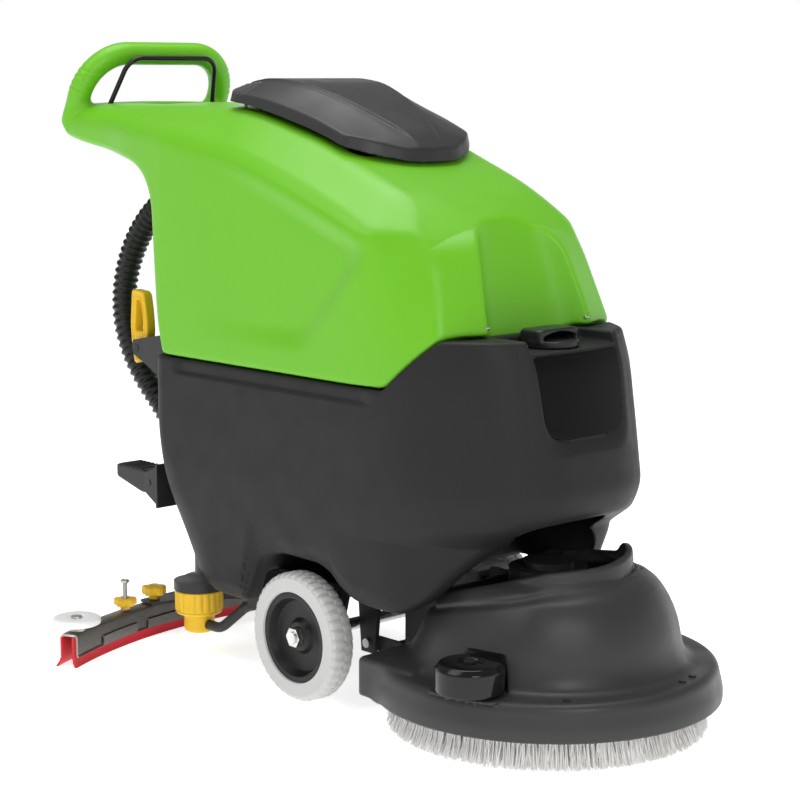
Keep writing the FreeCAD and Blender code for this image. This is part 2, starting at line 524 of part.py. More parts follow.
# ---- squeegee ----
arm_side = [(YOKE_X + 11, YOKE_Z + 8), (YOKE_X + 4, YOKE_Z + 13), (YOKE_X - 12, YOKE_Z + 12),
            (-800, 80), (-815, 72), (-815, 64), (-790, 64), (YOKE_X - 12, YOKE_Z - 12),
            (YOKE_X + 11, YOKE_Z - 8)]
yoke_arm = side(arm_side, (88, 96))
yoke_z = (YOKE_LOW, YOKE_LOW + YOKE_PLATE)
yoke = join(yoke_arm, mirrored(yoke_arm), box((-815, -790), (-96, 96), yoke_z),
            box((NOZZLE_X, -790), (-50, 50), yoke_z), disc(NOZZLE_X, 0, COLLAR_R + 14, yoke_z))
yoke = cut(yoke, disc(NOZZLE_X, 0, COLLAR_R + FIT, (40, 100)),
           rod((YOKE_X, -200, YOKE_Z), (YOKE_X, 200, YOKE_Z), PIN_R + FIT))
save("squeegee_yoke", yoke)
socket_z = YOKE_LOW + YOKE_PLATE
flange_r = COLLAR_R + 13
nozzle = turned([(SOCKET_R, CHANNEL_TOP + 5), (SOCKET_R + 5, CHANNEL_TOP + 5),
                 (SOCKET_R + 5, socket_z + GAP + 1), (flange_r, socket_z + GAP + 1),
                 (flange_r, socket_z + 5), (SOCKET_R + 4, socket_z + 7),
                 (SOCKET_R + 4, SOCKET_TOP), (SOCKET_R, SOCKET_TOP)], NOZZLE_X)
save("suction_nozzle", nozzle.fuse(ring(NOZZLE_X, 0, COLLAR_R + 1, flange_r, (socket_z, socket_z + 3))))
wing = plan([(NOZZLE_X - 10, 40), (KNOB_X - 14, KNOB_Y + 20), (KNOB_X + 22, KNOB_Y + 22),
             (NOZZLE_X + 60, 60), (NOZZLE_X + 60, -60), (KNOB_X + 22, -KNOB_Y - 22),
             (KNOB_X - 14, -KNOB_Y - 20), (NOZZLE_X - 10, -40)], (CHANNEL_TOP, CHANNEL_TOP + 5))
carrier = join(wing, disc(NOZZLE_X, 0, COLLAR_R, (CHANNEL_TOP, socket_z)),
               disc(NOZZLE_X, 0, COLLAR_R + 12, (CHANNEL_TOP, CHANNEL_TOP + 5)))
studs_y = (-KNOB_Y, KNOB_Y)
carrier = cut(carrier, disc(NOZZLE_X, 0, SOCKET_R + 7, (40, 100)),
              *[disc(KNOB_X, y, STUD_R + 0.5, (40, 100)) for y in studs_y])
save("squeegee_carrier", carrier)

c_in, c_out = BLADE_R - CHANNEL_W / 2, BLADE_R + CHANNEL_W / 2
channel = join(sector(c_in, c_out, (CHANNEL_TOP - SHEET, CHANNEL_TOP), BLADE_A),
               sector(c_in, c_in + SHEET, (18, CHANNEL_TOP), BLADE_A),
               sector(c_out - SHEET, c_out, (18, CHANNEL_TOP), BLADE_A),
               *[disc(KNOB_X, y, STUD_R, (CHANNEL_TOP - 2, CHANNEL_TOP + 40)) for y in studs_y],
               *both(disc(DISC_X, DISC_Y, 14, (CHANNEL_TOP - 1, 67.5))),
               *both(disc(DISC_X, DISC_Y, 6, (67, 84))), *both(disc(DISC_X, DISC_Y, 11, (82.6, 85))),
               *both(disc(ADJUST_X, ADJUST_Y, 10, (CHANNEL_TOP - 1, CHANNEL_TOP + 3))))
channel = cut(channel, disc(NOZZLE_X, 0, SOCKET_R - 3, (40, 70)),
              *both(disc(ADJUST_X, ADJUST_Y, 4 + FIT, (40, 70))))
save("squeegee_body", channel)
blade_z = (0, CHANNEL_TOP - SHEET)
save("front_blade", sector(c_in + SHEET, c_in + 2 * SHEET, blade_z, BLADE_A + BLADE_END))
save("rear_blade", sector(c_out - 2 * SHEET, c_out - SHEET, blade_z, BLADE_A + BLADE_END))
clamps = [sector(c_in - 3, c_in, (20, 34), 3.2, 9.4 * k) for k in range(-2, 3)]
save("blade_clamps", *clamps)
for name, sign in (("right", -1), ("left", 1)):
    save("disc_" + name, ring(DISC_X, sign * DISC_Y, 6 + FIT, DISC_R, (68, 82)))
    knob_low = CHANNEL_TOP + 5 + GAP
    save("knob_" + name, star_knob(KNOB_X, sign * KNOB_Y, 24, (knob_low, knob_low + 24), STUD_R + FIT))
    x, y = ADJUST_X, sign * ADJUST_Y
    adjust_low = CHANNEL_TOP + 3 + GAP
    adjuster = join(star_knob(x, y, 22, (adjust_low, adjust_low + 20), 3.9),
                    disc(x, y, 4, (CHANNEL_TOP - 10, 113)), disc(x, y, 9, (111, 115)))
    save("adjuster_" + name, adjuster)

# ---- squeegee lever ----
lever_y = (LEVER_Y - 10, LEVER_Y + 10)
lever_cheek = side([(REAR_X, 478), (REAR_X, 566), (LEVER_X - 10, LEVER_Z + 14), (LEVER_X - 14, LEVER_Z),
                    (LEVER_X - 8, LEVER_Z - 12)], (lever_y[1] + 1, lever_y[1] + 7))
other_cheek = lever_cheek.copy()
other_cheek.translate(V(0, lever_y[0] - lever_y[1] - 8, 0))
lever_back = box((REAR_X - 5, REAR_X), (lever_y[0] - 9, lever_y[1] + 9), (470, 572))
lever_pin = rod((LEVER_X, lever_y[0] - 8, LEVER_Z), (LEVER_X, lever_y[1] + 8, LEVER_Z), 6)
save("lever_bracket", join(lever_cheek, other_cheek, lever_back, lever_pin))
lever = side([(LEVER_X - 17, 501), (LEVER_X + 14, 520), (LEVER_X + 24, 548), (LEVER_X + 23, 600),
              (LEVER_X + 14, 634), (LEVER_X - 22, 637), (LEVER_X - 22, 624), (LEVER_X - 29, 561)], lever_y)
lever = cut(lever, side([(LEVER_X - 14, 562), (LEVER_X + 10, 562), (LEVER_X + 9, 600),
                         (LEVER_X, 620), (LEVER_X - 8, 620)], (-200, -140)),
            rod((LEVER_X, -300, LEVER_Z), (LEVER_X, 0, LEVER_Z), 6 + FIT))
save("squeegee_lever", lever)

# ---- solution filter ----
save("filter_head", join(disc(FILTER_X, FILTER_Y, 44, (121, TANK_FLOOR_Z)),
                         disc(FILTER_X, FILTER_Y, 30, (112, 122))))
bowl = turned([(0, 45), (24, 45), (27, 50), (27, 74), (40, 79), (42, 84), (42, 120.5), (30.1 + FIT, 120.5),
               (30.1 + FIT, 100), (0, 100)], FILTER_X, FILTER_Y)
save("filter_bowl", bowl)
pipe_points = [(FILTER_X + 27.4, FILTER_Y, 60), (-610, FILTER_Y, 60), (-570, FILTER_Y + 20, 100),
               (-530, -150, 122)]
pipe, _ = bent_tube(pipe_points, 9, [30, 25])
save("solution_pipe", pipe)
save("solution_valve", join(box((-545, -500), (-172, -132), (108, TANK_FLOOR_Z)))
     .cut(pipe))

# ---- upper tank with neck and handle ----
upper_rows = [(SEAM_Z - 2, -150, HALF, -17, 209, 19, 122, 20),
              (624, -165, HALF - 2, -48, 193, -16, 114, -12),
              (704, -175, HALF - 3, -77, 178, -49, 106, -45),
              (768, -182, HALF - 5, -108, 170, -77, 95, -73),
              (805, -195, HALF - 6, -141, 167, -110, 85, -106),
              (1000, -200, HALF - 8, -141, 167, -110, 85, -106)]


def upper_plan(row, distance):
    z, side_x, width, corner_x, corner_y, lobe_x, lobe_y, nose = row
    half = [(HANDLE_X - 20, 150), (HANDLE_X + 5, 186), (-905, 202), (REAR_X + 15, width - 8),
            (REAR_X + 60, width), (side_x, width), (corner_x, corner_y), (lobe_x, lobe_y), (nose, 0)]
    return z, inset(symmetric(half), distance)


def roof(x, edge, crease, drop):
    """Cross outline under the roof: shoulders slope from the edge to the crease."""
    slope = (edge - crease) / (HALF - 7 - 150)
    low = edge - slope * 115
    half = [(265, 500), (265, low - drop), (150 - 0.4 * drop, edge - drop), (0, edge + 4 - drop)]
    return x, [(-y, z) for y, z in half] + [(y, z) for y, z in reversed(half[:-1])]


def upper_roof(drop):
    rows = [(-1200, ROOF_Z, 915), (-725, ROOF_Z, 917), (-600, ROOF_Z - 1, 902), (-414, 921, 860),
            (-283, 874, 814), (-174, 828, 770), (0, 730, 670)]
    return loft_back([roof(*row, drop) for row in rows])


tank_lower = [(REAR_X + 40, SEAM_Z), (SEAM_FRONT, SEAM_Z), (CLIMB_TOP - 3, LEDGE_Z + 3),
              (HINGE_X + 6, LEDGE_Z + 3), (HINGE_X + 12, LEDGE_Z + 12), (60, LEDGE_Z + 12), (60, 1100)]
rear_wall = [(REAR_X + 10, 803), (REAR_X + 22, 612)]
neck_side = [(HANDLE_X - HANDLE_R + 1, 1100), (HANDLE_X - HANDLE_R + 1, 938), (HANDLE_X, 915), (-1045, 903),
             (-905, 882), (-780, 864), (REAR_X - 5, 843)]
shell = loft_up([upper_plan(row, 0) for row in upper_rows])
shell = shell.common(side(tank_lower + neck_side + rear_wall, (-300, 300))).common(upper_roof(0))


def front_recess(grow):
    """Scoop between the two front lobes, deepest at the foot."""
    rows = [(600, 128, 110, 78, -66), (706, 122, 104, 72, -86), (790, 100, 84, 60, -106),
            (812, 60, 50, 40, -116)]
    sections = []
    for z, mouth, edge, back, depth in rows:
        half = [(depth - grow, back + grow * 0.6), (depth + 34 - grow, edge + grow), (90, mouth + grow)]
        sections.append((z, [(x, -y) for x, y in half] + [(x, y) for x, y in reversed(half)]))
    return loft_up(sections)


shell = shell.cut(front_recess(0))
inner = loft_up([upper_plan(row, WALL) for row in upper_rows])
inner_side = inset(tank_lower + [(REAR_X, 1100)] + rear_wall, WALL)
inner = inner.common(side(inner_side, (-300, 300))).common(upper_roof(WALL)).cut(front_recess(WALL))
shelf = box((REAR_X, MOTOR_BAY[1]), (-300, 300), (500, 606))
inner = cut(inner, shelf.common(inner), box(MOTOR_BAY, (-300, 300), (500, 930)))
hole = box(LID_HOLE[0], LID_HOLE[1], (800, 1000))
slots = both(box((BAIL_X - 9, BAIL_X + 16), (BAIL_Y - 8, BAIL_Y + 8), (942, 1000)))
bores = rod((BAIL_X, -BAIL_Y - 15, BAIL_Z), (BAIL_X, BAIL_Y + 15, BAIL_Z), BAIL_R + FIT)
bores = bores.common(join(*both(box((-1100, -900), (BAIL_Y - 8, BAIL_Y + 20), (900, 1000)))))
hinge_slots = both(side([(HINGE_X - 14, 600), (HINGE_X + 30, 600), (HINGE_X + 30, LEDGE_Z + 12),
                         (HINGE_X + 9, HINGE_Z + 10), (HINGE_X - 10, HINGE_Z + 11)],
                        (HINGE_Y - 1, HINGE_Y + PLATE + 1)))
pin_holes = both(rod((HINGE_X, HINGE_Y - 6, HINGE_Z), (HINGE_X, HINGE_Y + 17, HINGE_Z), 4 + FIT))
hinge_boss = box((HINGE_X - 22, HINGE_X + 8), (HINGE_Y - 6, HINGE_Y + 18), (LEDGE_Z + 3, HINGE_Z + 20))
bosses = [b.common(shell) for b in both(hinge_boss)]
loop = [(HANDLE_X, -160, ROOF_Z - 30), (HANDLE_X + 6, -159, ROOF_Z + 10), (HANDLE_X + 57, -128, ROOF_Z + 93),
        (HANDLE_X + 57, 128, ROOF_Z + 93), (HANDLE_X + 6, 159, ROOF_Z + 10), (HANDLE_X, 160, ROOF_Z - 30)]
handle, _ = bent_tube(loop, HANDLE_R, [60, 62, 62, 60])
catch = side([(REAR_X + 20, 590), (REAR_X + 14, 640), (REAR_X - 12, 636), (REAR_X - 14, 604),
              (REAR_X - 6, 604), (REAR_X - 4, 622), (REAR_X + 10, 622)], (LEVER_Y + 20, LEVER_Y + 32))
spout = rod((REAR_X + 60, -70, SPOUT_Z), (SPOUT_X, -70, SPOUT_Z), HOSE_D / 2 + SPOUT_WALL)
shell = cut(shell, inner, hole, box(PANEL[0], PANEL[1], (ROOF_Z - 16, 1000)), *slots)
spout = spout.cut(inner.common(box((REAR_X + 22, 0), (-200, 200), (700, 900))))
shell = join(shell, *bosses, handle, catch, spout)
shell = cut(shell, bores, *hinge_slots, *pin_holes,
            rod((REAR_X - 30, -70, SPOUT_Z), (SPOUT_X + 12, -70, SPOUT_Z), HOSE_D / 2 + 0.2),
            rod((REAR_X - 30, -70, SPOUT_Z), (REAR_X + 80, -70, SPOUT_Z), HOSE_D / 2 - SPOUT_LIP))
save("recovery_tank", max(shell.Solids, key=lambda s: s.Volume))

# ---- lid ----
roof_line = [(-614, 971), (-600, 970), (-414, 930), (-283, 884), (-262, 876)]
lid_top = [(-256, 893), (-290, 915), (-340, 944), (-420, 980), (-500, 1003), (-560, 1010),
           (-600, 1006), (-614, 990)]
lid_plan = symmetric([(-614, 120), (-606, 150), (-590, 157), (-420, 148), (-325, 143), (-290, 108),
                      (-262, 55), (-256, 0)])
lid = side(roof_line + lid_top, (-170, 170)).common(plan(lid_plan, (800, 1100)))
under_top = inset(roof_line + lid_top, WALL)[len(roof_line):]
lid_hollow = side([(under_top[-1][0], 900), (under_top[0][0], 800)] + under_top, (-150, 150))
lid_hollow = lid_hollow.common(plan(inset(lid_plan, 12), (800, 1100)))
lid = lid.cut(lid_hollow)
lid_z = ROOF_Z + 16
ears = both(box((LID_HINGE_X - 6, -608), (85, 99), (lid_z - 6, lid_z + 6)))
lid = join(lid, *ears)
lid = lid.cut(rod((LID_HINGE_X, -150, lid_z), (LID_HINGE_X, 150, lid_z), 3 + FIT))
save("tank_lid", max(lid.Solids, key=lambda s: s.Volume))
lid_lug = side([(LID_HINGE_X - 12, ROOF_Z - 2), (LID_HINGE_X + 6, ROOF_Z - 2), (LID_HINGE_X + 6, lid_z + 5),
                (LID_HINGE_X - 6, lid_z + 5)], (100, 108))
lid_lug = lid_lug.cut(shell).cut(rod((LID_HINGE_X, 0, lid_z), (LID_HINGE_X, 200, lid_z), 3))
save("lid_hinge", *both(lid_lug), *both(rod((LID_HINGE_X, 84, lid_z), (LID_HINGE_X, 109, lid_z), 3)))

# ---- bail, controls, float, suction motor and hose ----
bail_path = [(BAIL_X, -BAIL_Y, BAIL_Z), (BAIL_X + 42, -BAIL_Y + 22, 1046), (BAIL_X + 42, BAIL_Y - 22, 1046),
             (BAIL_X, BAIL_Y, BAIL_Z)]
bail, _ = bent_tube(bail_path, BAIL_R, [34, 34])
save("bail_lever", join(bail, *both(rod((BAIL_X, BAIL_Y, BAIL_Z), (BAIL_X, BAIL_Y + 14, BAIL_Z), BAIL_R)),
                        *both(Part.makeSphere(BAIL_R, V(BAIL_X, BAIL_Y, BAIL_Z)))))
panel_z = ROOF_Z - 16
panel = box((PANEL[0][0] + GAP, PANEL[0][1] - GAP), (PANEL[1][0] + GAP, PANEL[1][1] - GAP),
            (panel_z, panel_z + 6))
panel = panel.cut(disc(PANEL_MID, KEY_Y, 7 + FIT, (900, 1000)))


def switch_block(y, grow, z):
    """Rocker of a switch, or with some growth the window that it sits in."""
    return box((PANEL_MID - 12 - grow, PANEL_MID + 12 + grow), (y - 8 - grow, y + 8 + grow), z)


save("control_panel", cut(panel, *[switch_block(y, 0.3, (900, 1000)) for y in SWITCHES_Y.values()]))
key = join(disc(PANEL_MID, KEY_Y, 7, (panel_z + GAP, panel_z + 8)),
           disc(PANEL_MID, KEY_Y, 11, (panel_z + 6.5, panel_z + 9)),
           box((PANEL_MID - 9, PANEL_MID + 9), (KEY_Y - 1.5, KEY_Y + 1.5), (panel_z + 8, panel_z + 15)))
save("key_switch", key)
for name, y in SWITCHES_Y.items():
    save(name, switch_block(y, 0, (panel_z + 4, panel_z + 11)))

save("vacuum_motor", join(disc(MOTOR_X, 0, 56, (606, 690)), disc(MOTOR_X, 0, 40, (690, 770))))
cage = ring(MOTOR_BAY[1] + 30, 0, 22, 25, (790, 890))
cage = join(cage, disc(MOTOR_BAY[1] + 30, 0, 25, (786, 790)), disc(MOTOR_BAY[1] + 30, 0, 25, (890, 894)),
            box((MOTOR_BAY[1], MOTOR_BAY[1] + 8), (-10, 10), (790, 894)))
save("float_cage", cage)

hose_route = [(SPOUT_X + 12, -70, SPOUT_Z), (-822, -72, SPOUT_Z), (-903, -78, 786), (-965, -87, 724),
              (-999, -95, 643), (-1000, -98, 556), (-963, -92, 476), (-909, -74, 404),
              (-876, -46, 327), (-867, -19, 252), (NOZZLE_X, -3, 185), (NOZZLE_X, 0, 119)]
bends = free_bends(hose_route)
hose, hose_length = bent_tube(hose_route, HOSE_D / 2, bends)
print("hose radii", [round(r) for r in bends], "length", round(hose_length))
print("hose volume ratio", round(hose.Volume / (math.pi * HOSE_D ** 2 / 4 * hose_length), 4))
save("suction_hose", hose)
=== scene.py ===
import math

import bpy
import numpy as np
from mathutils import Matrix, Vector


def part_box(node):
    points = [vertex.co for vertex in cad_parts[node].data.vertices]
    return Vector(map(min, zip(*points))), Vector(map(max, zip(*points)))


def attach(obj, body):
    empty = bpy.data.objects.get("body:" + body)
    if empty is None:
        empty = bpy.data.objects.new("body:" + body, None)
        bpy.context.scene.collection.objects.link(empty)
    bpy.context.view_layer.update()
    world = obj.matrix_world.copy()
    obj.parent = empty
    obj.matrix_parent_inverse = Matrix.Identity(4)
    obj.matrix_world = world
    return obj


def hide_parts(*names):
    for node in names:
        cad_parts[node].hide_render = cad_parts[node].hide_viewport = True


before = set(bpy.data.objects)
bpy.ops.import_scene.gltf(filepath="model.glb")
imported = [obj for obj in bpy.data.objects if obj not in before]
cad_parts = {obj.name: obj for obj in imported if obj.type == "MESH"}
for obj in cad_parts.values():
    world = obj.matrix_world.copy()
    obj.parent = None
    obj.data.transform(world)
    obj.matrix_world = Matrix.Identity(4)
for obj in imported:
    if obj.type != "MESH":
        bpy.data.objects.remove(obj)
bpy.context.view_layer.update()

# ---- camera, lights and floor ----
# The machine stands on a pale studio floor under three large soft lamps, and the camera
# looks at its front right corner from about chest height. Lengths are metres, and the
# pieces are drawn from the brush's upright axis, BRUSH_X in the frame.
plate_low, plate_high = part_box("brush_plate")
BRUSH_X = (plate_low.x + plate_high.x) / 2
CAMERA_AT = (BRUSH_X + 2.1559, -2.3101, 1.0125)
CAMERA_TURN = math.radians(47.26)
CAMERA_DIP = math.radians(8.963)
CAMERA_LENS = 92.25
camera_data = bpy.data.cameras.new("camera")
camera_data.lens = CAMERA_LENS
camera_data.sensor_width = 36.0
camera = bpy.data.objects.new("camera", camera_data)
camera.location = CAMERA_AT
camera.rotation_euler = (math.pi / 2 - CAMERA_DIP, 0.0, CAMERA_TURN)
bpy.context.scene.collection.objects.link(camera)
bpy.context.scene.camera = camera


def soft_lamp(name, place, aim, size, power):
    """Square area lamp at place, turned so that its face looks at aim."""
    data = bpy.data.lights.new(name, "AREA")
    data.size = size
    data.energy = power
    lamp = bpy.data.objects.new(name, data)
    lamp.location = place
    way = np.array(aim) - np.array(place)
    lamp.rotation_euler = (math.atan2(math.hypot(way[0], way[1]), -way[2]), 0.0,
                           math.atan2(way[1], way[0]) - math.pi / 2)
    bpy.context.scene.collection.objects.link(lamp)


def mapped(tree, value, start, end, low, high):
    """Node value that goes from low to high while another goes from start to end."""
    ramp = tree.nodes.new("ShaderNodeMapRange")
    for socket, number in zip(("From Min", "From Max", "To Min", "To Max"), (start, end, low, high)):
        ramp.inputs[socket].default_value = number
    tree.links.new(value, ramp.inputs["Value"])
    return ramp.outputs["Result"]


soft_lamp("key_lamp", (-0.9, -2.6, 3.6), (0.0, 0.0, 0.5), 2.2, 42.0)
soft_lamp("top_lamp", (-0.3, 0.2, 3.8), (0.0, 0.0, 0.4), 2.6, 95.0)
soft_lamp("front_lamp", (3.6, -1.6, 2.4), (0.1, 0.0, 0.2), 1.4, 44.0)
world = bpy.data.worlds.new("studio")
world.use_nodes = True
air, air_links = world.node_tree.nodes, world.node_tree.links
height = air.new("ShaderNodeSeparateXYZ")
air_links.new(air.new("ShaderNodeTexCoord").outputs["Generated"], height.inputs["Vector"])
glow = mapped(world.node_tree, height.outputs["Z"], 0.10, 0.40, 1.0, 0.22)
air["Background"].inputs["Color"].default_value = (1.0, 1.0, 1.0, 1.0)
air_links.new(glow, air["Background"].inputs["Strength"])
bpy.context.scene.world = world
bpy.context.scene.view_settings.view_transform = "Standard"


def to_object(name, points, faces):
    """Mesh object of an array of points and an array of equal-sided faces, moved from the
    brush's axis into the frame, its faces turned outwards by the sign of its volume."""
    points = np.asarray(points, float).reshape(-1, 3)
    faces = np.asarray(faces, int)
    fans = [faces[:, [0, k, k + 1]] for k in range(1, faces.shape[1] - 1)]
    corners = points[np.concatenate(fans)]
    volume = np.einsum("ij,ij->i", corners[:, 0], np.cross(corners[:, 1], corners[:, 2])).sum()
    if volume < 0:
        faces = faces[:, ::-1]
    mesh = bpy.data.meshes.new(name)
    mesh.vertices.add(len(points))
    mesh.vertices.foreach_set("co", (points + (BRUSH_X, 0.0, 0.0)).astype(np.float32).ravel())
    mesh.loops.add(faces.size)
    mesh.loops.foreach_set("vertex_index", faces.astype(np.int32).ravel())
    mesh.polygons.add(len(faces))
    mesh.polygons.foreach_set("loop_start", np.arange(len(faces), dtype=np.int32) * faces.shape[1])
    mesh.update(calc_edges=True)
    mesh.validate()
    obj = bpy.data.objects.new(name, mesh)
    bpy.context.scene.collection.objects.link(obj)
    return obj


FLOOR = 60.0
floor = to_object("studio_floor", FLOOR * np.array([(-1, -1, 0), (1, -1, 0), (1, 1, 0), (-1, 1, 0)]),
                  [(0, 1, 2, 3)])
floor_paint = bpy.data.materials.new("studio_floor_paint")
floor_paint.use_nodes = True
floor_shader = floor_paint.node_tree.nodes["Principled BSDF"]
floor_shader.inputs["Base Color"].default_value = (0.93, 0.93, 0.93, 1.0)
floor_shader.inputs["Roughness"].default_value = 0.7
floor_shader.inputs["Emission Color"].default_value = (1.0, 1.0, 1.0, 1.0)
floor_shader.inputs["Emission Strength"].default_value = 0.76
floor.data.materials.append(floor_paint)

# ---- suction hose ----
# Corrugated black polyethylene hose, 47 mm across. It is pushed into the spout at the back
# of the recovery tank, arches behind it and drops into the socket of the suction nozzle.
HOSE_D = 0.047
HOSE_PITCH = 0.0135
HOSE_GROOVE = 0.0042
HOSE_ROUTE = [(-0.747, -0.070, 0.820), (-0.822, -0.072, 0.820), (-0.903, -0.078, 0.786),
              (-0.965, -0.087, 0.724), (-0.999, -0.095, 0.643), (-1.000, -0.098, 0.556),
              (-0.963, -0.092, 0.476), (-0.909, -0.074, 0.404), (-0.876, -0.046, 0.327),
              (-0.867, -0.019, 0.252), (-0.865, -0.003, 0.185), (-0.865, 0.000, 0.119)]


def spline_points(route):
    """Points along the smooth curve whose control points are the route."""
    curve = bpy.data.curves.new("route", "CURVE")
    curve.dimensions = "3D"
    curve.resolution_u = 24
    spline = curve.splines.new("NURBS")
    spline.points.add(len(route) - 1)
    spline.points.foreach_set("co", np.c_[np.array(route), np.ones(len(route))].ravel())
    spline.order_u = 3
    spline.use_endpoint_u = True
    holder = bpy.data.objects.new("route", curve)
    mesh = bpy.data.meshes.new_from_object(holder)
    points = np.zeros(len(mesh.vertices) * 3)
    mesh.vertices.foreach_get("co", points)
    bpy.data.objects.remove(holder)
    bpy.data.curves.remove(curve)
    bpy.data.meshes.remove(mesh)
    return points.reshape(-1, 3)


def grid_faces(rows, columns, close_rows=False, close_columns=True):
    """Quads of a grid of points, row after row, wrapped round where it closes."""
    row = np.arange(rows if close_rows else rows - 1)[:, None]
    column = np.arange(columns if close_columns else columns - 1)[None, :]
    below, beside = (row + 1) % rows, (column + 1) % columns
    corners = [row * columns + column, row * columns + beside,
               below * columns + beside, below * columns + column]
    return np.stack([np.broadcast_to(c, (row.size, column.size)) for c in corners], -1).reshape(-1, 4)


def along(path, spacing):
    """The path read again at even steps of its length: its points and unit directions."""
    steps = np.linalg.norm(np.diff(path, axis=0), axis=1)
    length = np.concatenate([[0.0], np.cumsum(steps)])
    places = np.linspace(0.0, length[-1], int(round(length[-1] / spacing)) + 1)
    points = np.stack([np.interp(places, length, path[:, k]) for k in range(3)], 1)
    ways = np.gradient(points, axis=0)
    return points, ways / np.linalg.norm(ways, axis=1)[:, None], places


def tube(path, ways, radii, sides, beside=(0.0, 1.0, 0.0)):
    """Rings of points about a path: at each point a circle of that radius, square to the
    path's direction, counted from the direction nearest to beside."""
    across = np.array(beside) - (ways @ np.array(beside))[:, None] * ways
    across /= np.linalg.norm(across, axis=1)[:, None]
    up = np.cross(ways, across)
    angle = np.linspace(0.0, 2 * math.pi, sides, endpoint=False)[None, :, None]
    circle = across[:, None] * np.cos(angle) + up[:, None] * np.sin(angle)
    return path[:, None] + np.reshape(radii, (-1, 1, 1)) * circle


def weld(obj):
    """Merges the doubled points of a closed end or pole."""
    work = obj.modifiers.new("weld", "WELD")
    work.merge_threshold = 1e-6
    bpy.context.view_layer.update()
    shaped = bpy.data.meshes.new_from_object(obj.evaluated_get(bpy.context.evaluated_depsgraph_get()))
    obj.modifiers.clear()
    old, obj.data = obj.data, shaped
    bpy.data.meshes.remove(old)


def smooth(obj, sharp_from=35.0):
    """Soft shading with the edges that turn more than this many degrees kept crisp."""
    obj.data.shade_smooth()
    obj.data.set_sharp_from_angle(angle=math.radians(sharp_from))


def noise(tree, place, scale, detail):
    """Value of a noise pattern that has so many features to the metre at place."""
    texture = tree.nodes.new("ShaderNodeTexNoise")
    texture.inputs["Scale"].default_value = scale
    texture.inputs["Detail"].default_value = detail
    tree.links.new(place, texture.inputs["Vector"])
    return texture.outputs["Fac"]


def raise_grain(tree, pattern, depth):
    """Raises the surface by a pattern, so many metres at most."""
    bump = tree.nodes.new("ShaderNodeBump")
    bump.inputs["Distance"].default_value = depth
    tree.links.new(pattern, bump.inputs["Height"])
    tree.links.new(bump.outputs["Normal"], tree.nodes["Principled BSDF"].inputs["Normal"])


def moulded(name, colour, roughness, grain, depth, tint=0.06, wear=0.08, sheen=0.30):
    """Moulded plastic or rubber: colour that drifts a little, a fine grain of so many
    bumps to the metre and so many metres deep, and gloss that varies with handling."""
    material = bpy.data.materials.new(name)
    material.use_nodes = True
    tree = material.node_tree
    nodes, links, shader = tree.nodes, tree.links, tree.nodes["Principled BSDF"]
    shader.inputs["Specular IOR Level"].default_value = sheen
    place = nodes.new("ShaderNodeTexCoord").outputs["Object"]
    drift = mapped(tree, noise(tree, place, 5.0, 4.0), 0.0, 1.0, 1.0 - tint, 1.0 + tint)
    shade = nodes.new("ShaderNodeMix")
    shade.data_type = "RGBA"
    shade.blend_type = "MULTIPLY"
    shade.inputs["Factor"].default_value = 1.0
    shade.inputs["A"].default_value = (*colour, 1.0)
    links.new(drift, shade.inputs["B"])
    links.new(shade.outputs["Result"], shader.inputs["Base Color"])
    gloss = mapped(tree, noise(tree, place, 17.0, 6.0), 0.3, 0.7, roughness - wear, roughness + wear)
    links.new(gloss, shader.inputs["Roughness"])
    raise_grain(tree, noise(tree, place, grain, 2.0), depth)
    return material


def finish_piece(obj, material, body, slot, *nodes):
    """Gives a piece its material and its body, and hides the CAD nodes that it stands for. The slot is not
    used.
    """
    obj.data.materials.append(material)
    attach(obj, body)
    if nodes:
        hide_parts(*nodes)


hose_line = spline_points(HOSE_ROUTE)
hose_path, hose_ways, hose_at = along(hose_line, HOSE_PITCH / 10)
hose_wave = np.cos(2 * math.pi * hose_at / HOSE_PITCH)
hose_radii = HOSE_D / 2 - HOSE_GROOVE * (0.5 - 0.5 * hose_wave) ** 0.8
hose_radii[[0, -1]] = 0.0
hose_rings = tube(hose_path, hose_ways, hose_radii, 28)
hose = to_object("suction_hose_looks", hose_rings, grid_faces(len(hose_path), 28))
weld(hose)
smooth(hose, 60.0)
hose_plastic = moulded("hose_polyethylene", (0.012, 0.012, 0.012), 0.36, 420.0, 0.00015)
finish_piece(hose, hose_plastic, "recovery_tank", "hose_black", "suction_hose")

# ---- solution tank ----
# The black lower tank is one rotomoulded shell of charcoal polyethylene: it holds the
# clean water in front and the batteries in an open well, and sits on the steel frame.
HALF = 0.235
SEAM_Z = 0.537
LEDGE_Z = 0.619
NOTCH_Z = 0.600
REAR_X = -0.745


def curve_through(at, knots, values):
    """Smooth curve through given values, level beyond the ends: a cubic piece between each
    two knots. Its slope at a knot is the harmonic mean of the steps beside it, or nothing
    where they differ in sign, so that it never swings past a value."""
    knots, values = np.asarray(knots, float), np.asarray(values, float)
    steps = np.diff(values) / np.diff(knots)
    before, after = steps[:-1], steps[1:]
    same = before * after > 0
    mean = np.where(same, 2 * before * after / np.where(same, before + after, 1.0), 0.0)
    slopes = np.concatenate([[steps[0]], mean, [steps[-1]]])
    at = np.clip(at, knots[0], knots[-1])
    k = np.clip(np.searchsorted(knots, at, side="right") - 1, 0, len(knots) - 2)
    width = knots[k + 1] - knots[k]
    t = (at - knots[k]) / width
    return (values[k] * (1 + 2 * t) * (1 - t) ** 2 + slopes[k] * width * t * (1 - t) ** 2
            + values[k + 1] * t * t * (3 - 2 * t) - slopes[k + 1] * width * t * t * (1 - t))


def meet(a, b, radius):
    """What is inside both solids, its edge rounded: the larger value, raised near a tie."""
    return np.maximum(a, b) + np.maximum(radius - np.abs(a - b), 0.0) ** 2 / (4 * radius)


